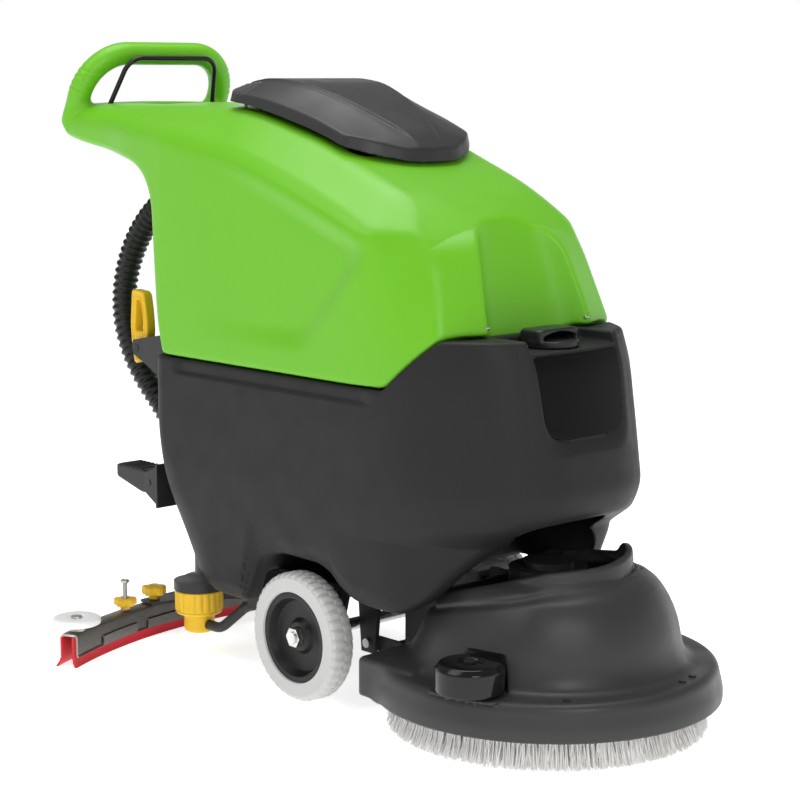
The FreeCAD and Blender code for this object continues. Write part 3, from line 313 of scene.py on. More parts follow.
def merge(a, b, radius):
    """What is inside either solid, its corner filled: the smaller value, lowered near a tie."""
    return -meet(-a, -b, radius)


def step_up(value, start, end):
    """Soft step from 0 at start to 1 at end."""
    t = np.clip((value - start) / (end - start), 0.0, 1.0)
    return t * t * (3 - 2 * t)


def slab(value, low, high, radius=0.004):
    """Inside between two parallel planes."""
    return meet(low - value, value - high, radius)


def skin_of(name, field, low, high, cell):
    """Closed skin of the solid where field(x, y, z) is negative. Each grid cell that the
    surface crosses gets one point, the mean of the crossings on its edges, drawn onto the
    surface along the field's slope; each grid edge that crosses it gets one quad."""
    axes = [np.arange(a, b + cell, cell) for a, b in zip(low, high)]
    grids = np.meshgrid(*axes, indexing="ij", sparse=True)
    value = np.broadcast_to(field(*grids), [len(a) for a in axes])
    shape = np.array(value.shape)
    total, count, quads = np.zeros((value.size, 3)), np.zeros(value.size), []
    for axis in range(3):
        ahead = np.roll(value, -1, axis)
        crossed = (value < 0) != (ahead < 0)
        index = np.stack(np.nonzero(crossed), 1)
        start, end = value[crossed], ahead[crossed]
        place = index.astype(float)
        place[:, axis] += start / (start - end)
        others = np.eye(3, dtype=int)[[(axis + 1) % 3, (axis + 2) % 3]]
        cells = [index, index - others[0], index - others[0] - others[1], index - others[1]]
        flat = [np.ravel_multi_index(c.T, shape) for c in cells]
        for f in flat:
            count += np.bincount(f, minlength=value.size)
            for k in range(3):
                total[:, k] += np.bincount(f, weights=place[:, k], minlength=value.size)
        quad = np.stack(flat, 1)
        quads.append(np.where((start < 0)[:, None], quad, quad[:, ::-1]))
    used = np.nonzero(count)[0]
    points = total[used] / count[used, None] * cell + np.array(low)
    number = np.zeros(value.size, int)
    number[used] = np.arange(len(used))
    nudge = cell * 0.05
    for _ in range(4):
        here = field(*points.T)
        slope = np.stack([field(*(points + nudge * e).T) - field(*(points - nudge * e).T)
                          for e in np.eye(3)], 1) / (2 * nudge)
        steep = np.maximum((slope ** 2).sum(1), 1e-4)
        move = -here[:, None] * slope / steep[:, None]
        far = np.linalg.norm(move, axis=1) / (0.3 * cell)
        points += move / np.maximum(far, 1.0)[:, None]
    obj = to_object(name, points, number[np.concatenate(quads)])
    obj.data.shade_smooth()
    facing = slope / np.sqrt(steep)[:, None]
    obj.data.normals_split_custom_set_from_vertices(facing.astype(np.float32))
    return obj


def lower_edge(x):
    """Height of the lower edge of the tank's side: the wheel arch and the front arch."""
    return curve_through(x, [-0.745, -0.727, -0.700, -0.676, -0.640, -0.499, -0.452, -0.430, -0.392, -0.315,
                             -0.278, -0.254, -0.206, -0.128, -0.084, -0.025, 0.014, 0.056, 0.100],
                         [0.330, 0.262, 0.200, 0.153, 0.137, 0.137, 0.219, 0.228, 0.236, 0.235,
                          0.225, 0.207, 0.189, 0.186, 0.204, 0.267, 0.308, 0.332, 0.345])


def front_face(z):
    """How far forward the tank's front reaches at each height."""
    return curve_through(z, [0.300, 0.336, 0.384, 0.410, 0.512, 0.566, 0.625],
                         [0.030, 0.075, 0.092, 0.089, 0.074, 0.065, 0.045])


def above_edge(x, z):
    """Distance above the lower edge: the height above it, less where the edge is steep."""
    places = np.linspace(-0.76, 0.11, 175)
    slopes = np.gradient(lower_edge(places), 0.005)
    slope = slopes[np.clip(((x + 0.76) / 0.005).astype(int), 0, 174)]
    return (z - lower_edge(x)) / np.sqrt(1 + 1.2 * slope ** 2)


def lower_tank(x, y, z):
    """Side, front, rear and top faces meeting in soft edges, less the arches, the well,
    the front panel's recess, the recess below the seam and the notch of the filler."""
    ay = np.abs(y)
    above = above_edge(x, z)
    lip = 0.010 * (1 - step_up(above, 0.0, 0.034))
    under_seam = (step_up(x, -0.665, -0.645) * (1 - step_up(x, -0.190, -0.150))
                  * step_up(z, 0.508, 0.518) * (1 - step_up(z, 0.60, 0.61)))
    belly = 0.007 * (1 - step_up(z, 0.20, 0.36)) * (1 - step_up(x, -0.30, -0.05))
    wide = ay - (HALF - lip - 0.006 * under_seam - belly)
    nose = front_face(z)
    bow = nose + 0.010 * (1 - np.minimum(ay / 0.115, 1.0) ** 2)
    corner = (x - nose + 0.030) * 0.66 + (ay - 0.150) * 0.75
    flank = (x - nose + 0.100) * 0.16 + (ay - 0.217) * 0.985
    front = meet((x - bow) * 0.97, corner, 0.05)
    rear = REAR_X + 0.006 * (z - 0.5) / 0.2 - x
    rear_corner = (REAR_X + 0.010 - x) * 0.7 + (ay - 0.214) * 0.7
    rear_low = -(x + 0.688) * 0.86 - (z - 0.215) * 0.5
    body = meet(meet(front, flank, 0.06), meet(rear, rear_corner, 0.04), 0.02)
    body = meet(body, wide, 0.016)
    inside_wall = body + 0.026
    body = meet(body, rear_low, 0.09)
    climb = (z - SEAM_Z - (x + 0.140) * 0.93) * 0.73
    top = merge(z - SEAM_Z, meet(climb, z - LEDGE_Z, 0.006), 0.006)
    upstand = meet(slab(x, REAR_X - 0.01, REAR_X + 0.014, 0.003), z - 0.612, 0.006)
    top = merge(top, upstand, 0.004)
    body = meet(body, top, 0.007)
    body = meet(body, -above, 0.012)
    arch = meet(meet(z - 0.189, slab(x, -0.493, -0.24), 0.01), ay - 0.186, 0.006)
    head = meet(meet(z - 0.331, -0.235 - x, 0.02), inside_wall, 0.01)
    well = meet(meet(slab(x, -0.624, -0.286), ay - 0.176, 0.01), 0.245 - z, 0.01)
    for hole in (arch, head, well):
        body = meet(body, -hole, 0.006)
    panel = meet(slab(ay, -1.0, 0.110 - 0.06 * (0.60 - z)), 0.446 - z, 0.045)
    body = meet(body, -meet(panel, bow - 0.010 - x + 0.5 * np.maximum(panel + 0.020, 0.0), 0.003), 0.004)
    notch = meet(meet(-0.030 - x, ay - 0.095, 0.012), NOTCH_Z - z, 0.003)
    body = meet(body, -notch, 0.003)
    return body


charcoal = moulded("charcoal_polyethylene", (0.019, 0.019, 0.0195), 0.50, 900.0, 0.00012, sheen=0.15)
solution_tank = skin_of("solution_tank_looks", lower_tank, (-0.77, -0.25, 0.11), (0.125, 0.25, 0.64), 0.005)
finish_piece(solution_tank, charcoal, "root", "charcoal", "solution_tank")

# ---- front panel ----
# Thin glossy black panel that clips into the recess in the front of the lower tank.


def front_plate(x, y, z):
    """Plate 3 mm thick that follows the recess's floor, its lower corners rounded."""
    ay = np.abs(y)
    bow = front_face(z) + 0.010 * (1 - np.minimum(ay / 0.115, 1.0) ** 2)
    outline = meet(meet(ay - 0.094 + 0.06 * (0.60 - z), 0.468 - z, 0.035), z - 0.596, 0.008)
    return meet(outline, np.abs(x - bow + 0.0088) - 0.0018, 0.001)


panel_gloss = moulded("panel_gloss", (0.004, 0.004, 0.0042), 0.34, 700.0, 0.00008, sheen=0.08)
front_panel = skin_of("front_panel", front_plate, (0.030, -0.110, 0.455), (0.105, 0.110, 0.606), 0.0025)
finish_piece(front_panel, panel_gloss, "root", "black_plastic")

# ---- recovery tank ----
# The green upper tank, its neck and the push handle are one rotomoulded shell of
# coloured polyethylene. It hinges on the lower tank in front, so that it can be tipped.
HANDLE_R = 0.021
NECK_END = -1.081
ROOF_Z = 0.962


def roof_edge(x):
    """Height of the roof's edge, where the shoulder starts."""
    return curve_through(x, [-1.10, -0.72, -0.60, -0.414, -0.283, -0.225, -0.174, -0.10],
                         [0.962, 0.962, 0.960, 0.920, 0.873, 0.850, 0.826, 0.782])


def crease(x):
    """Height of the crease between the shoulder and the side."""
    return curve_through(x, [-1.10, -0.92, -0.725, -0.585, -0.463, -0.297, -0.206, -0.15],
                         [0.910, 0.915, 0.919, 0.897, 0.873, 0.820, 0.787, 0.762])


def handle_loop(x, y, z):
    """Tube along a rounded rectangle that leans forward from the end of the neck, with
    shallow finger grooves down the outside of each leg."""
    lean = math.atan2(0.057, 0.123)
    up = (x + 1.060) * math.sin(lean) + (z - 0.932) * math.cos(lean)
    off = (x + 1.060) * math.cos(lean) - (z - 0.932) * math.sin(lean)
    across, along_leg = np.abs(y) - (0.160 - 0.085), up - (0.1355 - 0.085)
    outside = np.sqrt(np.maximum(across, 0) ** 2 + np.maximum(along_leg, 0) ** 2)
    rim = outside + np.minimum(np.maximum(across, along_leg), 0.0) - 0.085
    grooves = (step_up(up, 0.050, 0.060) * (1 - step_up(up, 0.105, 0.115)) * step_up(rim, 0.0, 0.012)
               * np.cos(2 * math.pi * up / 0.0115))
    return meet(np.sqrt(rim ** 2 + off ** 2) - HANDLE_R + 0.0009 * grooves, -0.005 - up, 0.004)


def upper_tank(x, y, z):
    """Roof, shoulders, sides with their pockets, corners and lobes meeting in soft edges,
    joined to the handle, less the scoop in front and the basin under the lid."""
    ay = np.abs(y)
    edge, fold = roof_edge(x), crease(x)
    roof = (z - edge - 0.005 * (1 - np.minimum(ay / 0.15, 1.0) ** 2)) * 0.92
    drop = edge - fold
    shoulder = ((ay - 0.150) * drop + (z - edge) * 0.080) / np.sqrt(drop ** 2 + 0.0064)
    upper = (x + 0.463) * 0.335 + (z - 0.873) * 0.942
    diagonal = (x + 0.155) * 0.741 - (z - 0.745) * 0.671
    within = -meet(meet(upper, diagonal, 0.030), 0.574 - z, 0.030)
    pocket = 0.012 * step_up(within, 0.0, 0.044) * step_up(x, -0.66, -0.30)
    half = curve_through(x, [-1.12, -1.081, -1.05, -0.905, -0.80, -0.70],
                         [0.150, 0.168, 0.187, 0.202, 0.224, HALF])
    side = (ay - half + pocket + 0.012 * (z - SEAM_Z)) * 0.97
    levels = [0.537, 0.624, 0.704, 0.768, 0.805]
    corner_x = curve_through(z, levels, [-0.017, -0.048, -0.077, -0.108, -0.141])
    corner_y = curve_through(z, levels, [0.209, 0.193, 0.178, 0.170, 0.167])
    flank_x = curve_through(z, levels, [-0.150, -0.165, -0.175, -0.182, -0.195])
    run_x, run_y = corner_x - flank_x, 0.234 - corner_y
    flank = ((x - corner_x) * run_y + (ay - corner_y) * run_x) / np.sqrt(run_x ** 2 + run_y ** 2)
    lobe_x = curve_through(z, [0.537, 0.624, 0.706, 0.765, 0.788, 0.84],
                           [0.017, -0.016, -0.049, -0.076, -0.091, -0.13])
    lobe = (x - lobe_x + 0.40 * (ay - 0.106)) * 0.87
    body = meet(roof, lobe, 0.055)
    body = meet(meet(body, flank, 0.010), shoulder, 0.010)
    body = meet(body, side, 0.022)
    wall = curve_through(z, [0.50, 0.532, 0.607, 0.686, 0.803, 0.90],
                         [-0.690, -0.698, -0.718, -0.726, -0.735, -0.742])
    below = curve_through(x, [-1.12, -1.066, -1.045, -0.905, -0.780, -0.70],
                          [0.925, 0.912, 0.903, 0.882, 0.862, 0.85])
    rear = merge(wall - x, below - z, 0.085)
    body = meet(meet(body, rear, 0.016), NECK_END - x, 0.030)
    climb = (SEAM_Z + (x + 0.140) * 0.95 - z) * 0.72
    seam = merge(meet(SEAM_Z + 0.003 - z, climb, 0.012), LEDGE_Z + 0.004 - z, 0.008)
    body = meet(body, seam, 0.009)
    back_x = curve_through(z, [0.60, 0.706, 0.790, 0.86], [-0.064, -0.088, -0.110, -0.132])
    back_y = curve_through(z, [0.60, 0.706, 0.790, 0.86], [0.078, 0.070, 0.058, 0.044])
    scoop = meet(back_x - x, (back_x + 1.25 * (ay - back_y) - x) * 0.62, 0.030)
    body = meet(body, -scoop, 0.006)
    body = merge(body, handle_loop(x, y, z), 0.016)
    from_hose = np.sqrt((y - HOSE_ROUTE[0][1]) ** 2 + (z - HOSE_ROUTE[0][2]) ** 2)
    spout = meet(from_hose - 0.030, slab(x, -0.759, -0.69), 0.004)
    body = merge(body, spout, 0.010)
    bore = meet(from_hose - HOSE_D / 2, x - HOSE_ROUTE[0][0], 0.001)
    basin = meet(meet(slab(x, -0.583, -0.210), ay - 0.190, 0.02), slab(z, 0.560, 0.80), 0.02)
    mouth = meet(meet(slab(x, -0.586, -0.312), ay - 0.117, 0.03), 0.70 - z, 0.002)
    tray = meet(meet(slab(x, -0.960, -0.844), ay - 0.100, 0.015), ROOF_Z - 0.018 - z, 0.003)
    for hole in (bore, merge(basin, mouth, 0.01), tray):
        body = meet(body, -hole, 0.004)
    return body


green = moulded("green_polyethylene", (0.134, 0.445, 0.014), 0.36, 260.0, 0.00010, 0.03, 0.05)
recovery_tank = skin_of("recovery_tank_looks", upper_tank, (-1.10, -0.25, 0.52), (0.035, 0.25, 1.09), 0.005)
finish_piece(recovery_tank, green, "recovery_tank", "green", "recovery_tank")

# ---- rear castor and chassis ----
# A welded frame of folded steel plate under the lower tank, powder-coated black. It carries
# the axle, the lugs of the head arms and of the squeegee yoke, and the rear castor.


def paint_node(name, material):
    """Gives a node of the model that stays shown its own material."""
    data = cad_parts[name].data
    data.materials.clear()
    data.materials.append(material)


def metal(name, colour, roughness, brushed, depth, metallic=1.0):
    """Plated or rolled metal: fine scratches along one way, stretched by brushed, over
    broad stains that change its gloss."""
    material = bpy.data.materials.new(name)
    material.use_nodes = True
    tree = material.node_tree
    nodes, links, shader = tree.nodes, tree.links, tree.nodes["Principled BSDF"]
    shader.inputs["Metallic"].default_value = metallic
    place = nodes.new("ShaderNodeTexCoord").outputs["Object"]
    stretch = nodes.new("ShaderNodeMapping")
    stretch.inputs["Scale"].default_value = brushed
    links.new(place, stretch.inputs["Vector"])
    lines = noise(tree, stretch.outputs["Vector"], 60.0, 5.0)
    ramp = nodes.new("ShaderNodeValToRGB")
    ramp.color_ramp.elements[0].position = 0.3
    ramp.color_ramp.elements[0].color = (*(0.75 * c for c in colour), 1.0)
    ramp.color_ramp.elements[1].position = 0.7
    ramp.color_ramp.elements[1].color = (*colour, 1.0)
    links.new(lines, ramp.inputs["Fac"])
    links.new(ramp.outputs["Color"], shader.inputs["Base Color"])
    stains = noise(tree, place, 14.0, 4.0)
    gloss = mapped(tree, stains, 0.3, 0.7, max(roughness - 0.10, 0.05), roughness + 0.10)
    links.new(gloss, shader.inputs["Roughness"])
    raise_grain(tree, lines, depth)
    return material


powder_coat = moulded("black_powder_coat", (0.022, 0.022, 0.023), 0.42, 600.0, 0.00020, 0.08, 0.10)
zinc = metal("zinc_plated_steel", (0.72, 0.72, 0.70), 0.30, (1.0, 8.0, 1.0), 0.00006)
castor_rubber = moulded("castor_rubber", (0.020, 0.020, 0.020), 0.55, 300.0, 0.00015)
for node in ("chassis_frame", "castor_fork", "deck_screws", "pedal_bracket", "lever_bracket", "deck_bracket",
             "lower_arms", "upper_link", "squeegee_yoke"):
    paint_node(node, powder_coat)
for node in ("axle", "axle_nuts", "rear_pivot_pins", "front_pivot_pins", "deck_plate", "drive_hub",
             "filler_strainer"):
    paint_node(node, zinc)
paint_node("castor_wheel", castor_rubber)

# ---- wheels ----
# Two drive wheels, each a dished hub of black nylon with a tyre of grey non-marking rubber
# moulded onto it. Two staggered rows of tread blocks run round the tyre.
AXLE_X = -0.349
WHEEL_R = 0.1067
WHEEL_W = 0.045
HUB_R = 0.0753
TREAD_BLOCKS = 42
TREAD_DEPTH = 0.0032


def rounded(profile, radius, steps=4):
    """Closed outline with each corner replaced by a short curve that starts radius before
    it, or a third of the way to the next corner where that is nearer."""
    points = np.asarray(profile, float)
    before, after = np.roll(points, 1, axis=0), np.roll(points, -1, axis=0)
    back, on = before - points, after - points
    reach_back = np.minimum(radius / np.linalg.norm(back, axis=1), 0.33)[:, None, None]
    reach_on = np.minimum(radius / np.linalg.norm(on, axis=1), 0.33)[:, None, None]
    t = np.linspace(0.0, 1.0, steps)[None, :, None]
    start, end = points[:, None] + back[:, None] * reach_back, points[:, None] + on[:, None] * reach_on
    curve = start * (1 - t) ** 2 + 2 * t * (1 - t) * points[:, None] + end * t ** 2
    return curve.reshape(-1, 2)


def turned(name, profile, centre, sides, axis="z"):
    """Solid of revolution of a closed (radius, height) outline about an axis through centre."""
    angle = np.linspace(0.0, 2 * math.pi, sides, endpoint=False)[:, None]
    radius, height = profile[None, :, 0], profile[None, :, 1] + 0 * angle
    round_x, round_y = radius * np.cos(angle), radius * np.sin(angle)
    order = {"z": (round_x, round_y, height), "y": (round_x, height, round_y)}[axis]
    points = np.stack(order, -1) + np.array(centre)
    obj = to_object(name, points, grid_faces(sides, len(profile), close_rows=True))
    smooth(obj)
    return obj


def tyre_piece(name, side):
    """Ring of tread columns: each block is a run of columns at full radius and each sipe a
    run TREAD_DEPTH lower, shifted half a block between the two rows and the grooves."""
    columns = TREAD_BLOCKS * 8
    part = np.tile([0.0, 0.02, 0.12, 0.14, 0.5, 0.52, 0.62, 0.64], TREAD_BLOCKS)
    angle = 2 * math.pi * (np.repeat(np.arange(TREAD_BLOCKS), 8) + part) / TREAD_BLOCKS
    outer_low = np.tile([1, 1, 1, 0, 0, 0, 0, 0], TREAD_BLOCKS) * (part < 0.13)
    inner_low = np.tile([0, 0, 0, 0, 1, 1, 1, 0], TREAD_BLOCKS)
    half = WHEEL_W / 2
    width = np.array([-half + 0.002, -half, -half, -half + 0.004, -half + 0.010, -0.0020, -0.0015, 0.0015,
                      0.0020, half - 0.010, half - 0.004, half, half, half - 0.002])
    radius = np.array([HUB_R, HUB_R + 0.001, WHEEL_R - 0.009, WHEEL_R - 0.003, WHEEL_R, WHEEL_R,
                       WHEEL_R - TREAD_DEPTH, WHEEL_R - TREAD_DEPTH, WHEEL_R, WHEEL_R, WHEEL_R - 0.003,
                       WHEEL_R - 0.009, HUB_R + 0.001, HUB_R])
    inner_row = np.array([0, 0, 0, 0.7, 1, 1, 0, 0, 0, 0, 0, 0, 0, 0])
    outer_row = np.array([0, 0, 0, 0, 0, 0, 0, 0, 1, 1, 0.7, 0, 0, 0])
    low = inner_low[:, None] * inner_row + outer_low[:, None] * outer_row
    reach = radius[None, :] - TREAD_DEPTH * low
    points = np.stack([AXLE_X + reach * np.cos(angle)[:, None],
                       side * (HALF - half + width[None, :]) + 0 * reach,
                       WHEEL_R + reach * np.sin(angle)[:, None]], -1)
    obj = to_object(name, points, grid_faces(columns, len(width), close_rows=True))
    smooth(obj, 28.0)
    return obj


hub_profile = rounded([(0.0101, -0.012), (0.024, -0.012), (0.030, -0.0215), (0.059, -0.020), (0.065, -0.003),
                       (HUB_R, -0.003), (HUB_R, -0.0410), (0.062, -0.0410), (0.058, -0.028), (0.028, -0.028),
                       (0.028, -0.0420), (0.0101, -0.0420)], 0.002)
tyre_rubber = moulded("non_marking_rubber", (0.52, 0.52, 0.51), 0.62, 380.0, 0.00018, 0.06, 0.06)
hub_nylon = moulded("black_nylon", (0.008, 0.008, 0.0085), 0.44, 500.0, 0.00012)
for side, word in ((-1, "right"), (1, "left")):
    tyre = tyre_piece("tyre_%s_looks" % word, side)
    finish_piece(tyre, tyre_rubber, "wheel_" + word, "tyre_grey", "tyre_" + word)
    hub = turned("hub_%s_looks" % word, hub_profile * (1, side), (AXLE_X, side * HALF, WHEEL_R), 96, "y")
    finish_piece(hub, hub_nylon, "wheel_" + word, "hub_grey", "hub_" + word)

# ---- tank hinge pins ----
# Two short plated pins in the feet of the recovery tank's lobes, on which that tank tips.
# Their inner ends show a little beside the scoop.
HINGE_AT = (-0.028, 0.0, 0.634)
pin_profile = rounded([(0.0001, 0.108), (0.0030, 0.108), (0.0030, 0.1180), (0.0001, 0.1180)], 0.0008)
for side, word in ((-1, "right"), (1, "left")):
    pin = turned("tank_hinge_pin_" + word, pin_profile * (1, side), HINGE_AT, 24, "y")
    finish_piece(pin, zinc, "root", "bright_steel", *(["tank_hinge_pins"] if side < 0 else []))

# ---- brush deck ----
# One moulding of charcoal plastic: a skirt round the brush and a dome that rises to a
# collar round the motor, cut away behind for the arms. The roller sits in a pocket.
DECK_R = 0.277
SKIRT_LOW = 0.049
SKIRT_TOP = 0.1065
BOX_HALF = 0.240
BOX_REAR = -0.186
ROLLER_AT = (0.062, -0.234)
ROLLER_R = 0.053
ROLLER_Z = (0.109, 0.155)


def dome_radius(x, y, z):
    """Radius of the dome's outside at each height. It narrows a little more towards the
    rear right."""
    dome = curve_through(z, [0.105, 0.112, 0.130, 0.171, 0.200, 0.228, 0.241, 0.256, 0.290],
                         [0.229, 0.223, 0.214, 0.205, 0.194, 0.176, 0.160, 0.136, 0.131])
    angle = np.arctan2(y, x)
    pinch = step_up(np.cos(angle - math.radians(-125)), 0.25, 0.95)
    return dome * (1 - 0.11 * pinch * step_up(z, 0.10, 0.22))


def collar_top(x, y):
    """Height of the collar's rim, highest in front on the left, falling to the rear right."""
    angle = np.degrees(np.arctan2(y, x))
    return curve_through(angle, [-180, -133, -100, -60, -45, 0, 27, 45, 56, 75, 180],
                         [0.208, 0.212, 0.236, 0.262, 0.270, 0.275, 0.280, 0.285, 0.284, 0.262, 0.235])


def deck_shell(x, y, z):
    """Skirt, flange and dome, hollow below, less the rear opening and the roller's pocket."""
    r, ay = np.sqrt(x * x + y * y), np.abs(y)
    skirt_r = DECK_R - 0.0065 * step_up(z, 0.06, 0.10)
    skirt = meet(meet(r - skirt_r, SKIRT_LOW - z, 0.004), z - SKIRT_TOP, 0.016)
    box_side = meet(meet(ay - BOX_HALF, BOX_REAR - x, 0.012), x + 0.06, 0.01)
    rear_box = meet(meet(box_side, SKIRT_LOW - z, 0.004), z - SKIRT_TOP - 0.005, 0.008)
    rim = collar_top(x, y)
    slope = (r - dome_radius(x, y, z)) * 0.85
    dome = meet(meet(slope, z - rim, 0.006), 0.09 - z, 0.004)
    groove = 0.0050 * np.exp(-((z - rim + 0.028) / 0.0055) ** 2)
    body = merge(merge(skirt, rear_box, 0.012), dome + groove, 0.010)
    under_dome = meet(slope + 0.0095, r - 0.126 - 0.9 * np.maximum(rim - 0.020 - z, 0.0), 0.01)
    under_skirt = meet(r - (DECK_R - 0.0155), z - 0.0960, 0.006)
    under_box = meet(meet(ay - BOX_HALF + 0.0055, BOX_REAR + 0.0055 - x, 0.01), z - SKIRT_TOP + 0.0005, 0.004)
    under_box = under_box + 0.9 * np.maximum(x + 0.07, 0)
    body = meet(body, -np.minimum(np.minimum(under_dome, under_skirt), under_box), 0.002)
    from_roller = np.sqrt((x - ROLLER_AT[0]) ** 2 + (y - ROLLER_AT[1]) ** 2)
    pad = meet(from_roller - ROLLER_R - 0.010, slab(z, 0.1025, 0.166), 0.005)
    pad = meet(pad, np.maximum(r - DECK_R + 0.002, slope - 0.08), 0.004)
    seat = ROLLER_Z[0] - 0.0012
    pocket = meet(from_roller - ROLLER_R - 0.003, slab(z, seat, ROLLER_Z[1] + 0.004, 0.002), 0.002)
    body = np.minimum(body, meet(pad, z - seat, 0.002))
    body = np.minimum(body, meet(pad, slope, 0.006))
    body = meet(body, -pocket, 0.003)
    gap = np.maximum(np.maximum(ay - 0.115, x + 0.070), 0.109 - z)
    rear = np.maximum(ay - 0.140, x + 0.180)
    for hole in (gap, rear, x - BOX_REAR):
        body = meet(body, -hole, 0.003)
    return body


deck = skin_of("deck_housing_looks", deck_shell, (-0.200, -0.300, 0.036), (0.292, 0.292, 0.300), 0.004)
deck_plastic = moulded("deck_polyethylene", (0.034, 0.034, 0.035), 0.40, 800.0, 0.00012)
finish_piece(deck, deck_plastic, "deck", "charcoal", "deck_housing")
paint_node("brush_motor", powder_coat)

# ---- bumper roller ----
# Solid roller of glossy black polyurethane on an upright pin at the deck's right side,
# turned with a wide bevel and a shallow recess for the pin's head.
roller_h = ROLLER_Z[1] - ROLLER_Z[0]
roller_profile = rounded([(0.0065, 0.0), (ROLLER_R - 0.003, 0.0), (ROLLER_R, 0.003),
                          (ROLLER_R, roller_h - 0.009), (ROLLER_R - 0.007, roller_h - 0.001),
                          (0.020, roller_h), (0.018, roller_h - 0.004), (0.0065, roller_h - 0.004)], 0.0022)
roller = turned("bumper_roller_looks", roller_profile, (*ROLLER_AT, ROLLER_Z[0]), 96)
roller_gloss = moulded("roller_polyurethane", (0.008, 0.008, 0.008), 0.16, 120.0, 0.00006, 0.05, 0.05)
finish_piece(roller, roller_gloss, "bumper_roller", "gloss_black", "bumper_roller")

# ---- disc brush ----
# A block of black polypropylene with tufts of near-white nylon set in rings. The outer
# tufts lean outwards and each bristle ends at its own length, so the edge looks uneven.
BRUSH_R = 0.254
BRISTLE_H = 0.045
TUFT_ROWS = [(0.236, 190), (0.226, 170), (0.214, 150), (0.200, 110), (0.170, 90), (0.135, 70), (0.100, 50)]
BRISTLES_IN_TUFT = 9
random = np.random.default_rng(7)


def bristle_field(rows):
    """Three-sided bristles: each tuft's bristles start round one point of the block and
    spread as they fall, the outer tufts leaning outwards; each has three levels."""
    radius = np.concatenate([np.full(n, r) for r, n in rows])
    angle = np.concatenate([np.arange(n) * 2 * math.pi / n + 0.3 * k for k, (r, n) in enumerate(rows)])
    radius = np.repeat(radius, BRISTLES_IN_TUFT) + random.normal(0, 0.0016, radius.size * BRISTLES_IN_TUFT)
    angle = np.repeat(angle, BRISTLES_IN_TUFT) + random.normal(0, 0.0016, radius.size) / radius
    lean = np.where(radius > 0.20, 0.0145, 0.004) + random.normal(0, 0.0022, radius.size)
    turn = random.normal(0, 0.0035, radius.size) / radius
    tip = np.abs(random.normal(0, 0.0016, radius.size))
    thick = random.uniform(0.0010, 0.0015, radius.size)
    level = np.array([0.0, 0.5, 1.0])
    reach = np.minimum(radius[:, None] + lean[:, None] * level ** 1.6, BRUSH_R + 0.0008)
    swing = angle[:, None] + turn[:, None] * level
    height = (BRISTLE_H + 0.002) * (1 - level) + tip[:, None] * level
    middle = np.stack([reach * np.cos(swing), reach * np.sin(swing), height], -1)
    corner = np.arange(3) * 2 * math.pi / 3
    spread = thick[:, None, None] * (1 - 0.35 * level)[None, :, None]
    offset = np.stack([spread * np.cos(corner), spread * np.sin(corner), 0 * spread * corner], -1)
    points = middle[:, :, None, :] + offset
    faces = grid_faces(3, 3)[None] + 9 * np.arange(len(radius))[:, None, None]
    return points.reshape(-1, 3), faces.reshape(-1, 4)


bristle_points, bristle_faces = bristle_field(TUFT_ROWS)
bristles = to_object("brush_bristles_looks", bristle_points, bristle_faces)
bristles.data.shade_smooth()
bristle_nylon = moulded("white_nylon", (0.90, 0.89, 0.87), 0.38, 90.0, 0.0001, 0.16, 0.08)
finish_piece(bristles, bristle_nylon, "brush", "bristle_white", "brush_bristles")
block_plastic = moulded("brush_block_plastic", (0.030, 0.030, 0.030), 0.5, 500.0, 0.0001)
paint_node("brush_plate", block_plastic)

# ---- squeegee ----
# A curved channel of folded stainless steel holds two blades of red rubber, clamped by five
# strips in front. Star knobs hold it to a black carrier that swings round the nozzle.
BLADE_X = -0.040
BLADE_R = 0.825
BLADE_A = 28.4
LIP_A = 28.9
KNOB_Y = 0.148
ADJUST_Y = 0.225
DISC_Y = 0.366


def swept(name, left, right, start, end, steps):
    """Bar whose section lies between two lines of (radius, height) points, bent round the
    squeegee's centre from one angle to another, with flat ends."""
    left, right = np.asarray(left, float), np.asarray(right, float)
    section = np.concatenate([left, right[::-1]])
    angle = np.radians(np.linspace(start, end, steps))[:, None]
    points = np.stack([BLADE_X - section[:, 0] * np.cos(angle), section[:, 0] * np.sin(angle),
                       section[:, 1] + 0 * angle], -1)
    count, n = len(section), len(left)
    k = np.arange(n - 1)
    cap = np.stack([k, count - 1 - k, count - 2 - k, k + 1], 1)
    faces = np.concatenate([grid_faces(steps, count), cap, cap[:, ::-1] + (steps - 1) * count])
    obj = to_object(name, points, faces)
    smooth(obj, 30.0)
    return obj, 2 * len(cap)


def bare_ends(obj, count):
    """Shows bare cut steel on a bar's last faces, which are its ends."""
    obj.data.materials.append(cut_steel)
    paint = np.zeros(len(obj.data.polygons), np.int32)
    paint[-count:] = 1
    obj.data.polygons.foreach_set("material_index", paint)


def arc_x(y):
    """Place along X of the middle of the channel at this y."""
    return BLADE_X - math.sqrt(BLADE_R ** 2 - y ** 2)


channel_outside = [(0.806, 0.018), (0.808, 0.021), (0.808, 0.051), (0.8095, 0.0555), (0.814, 0.057),
                   (0.836, 0.057), (0.8405, 0.0555), (0.842, 0.051), (0.842, 0.018)]
channel_inside = [(0.8095, 0.0165), (0.812, 0.020), (0.812, 0.050), (0.8125, 0.0525), (0.815, 0.0533),
                  (0.835, 0.0533), (0.8375, 0.0525), (0.838, 0.050), (0.838, 0.018)]
channel, end_faces = swept("squeegee_channel", channel_outside, channel_inside, -BLADE_A, BLADE_A, 97)
channel_steel = metal("squeegee_steel", (0.115, 0.107, 0.098), 0.36, (1.0, 1.0, 9.0), 0.00008, 0.75)
cut_steel = metal("cut_steel", (0.62, 0.60, 0.57), 0.42, (1.0, 1.0, 1.0), 0.00005)
finish_piece(channel, channel_steel, "squeegee", "channel_steel", "squeegee_body")
bare_ends(channel, end_faces)
blade_rubber = moulded("red_rubber", (0.60, 0.018, 0.030), 0.44, 240.0, 0.00012, 0.07, 0.08)
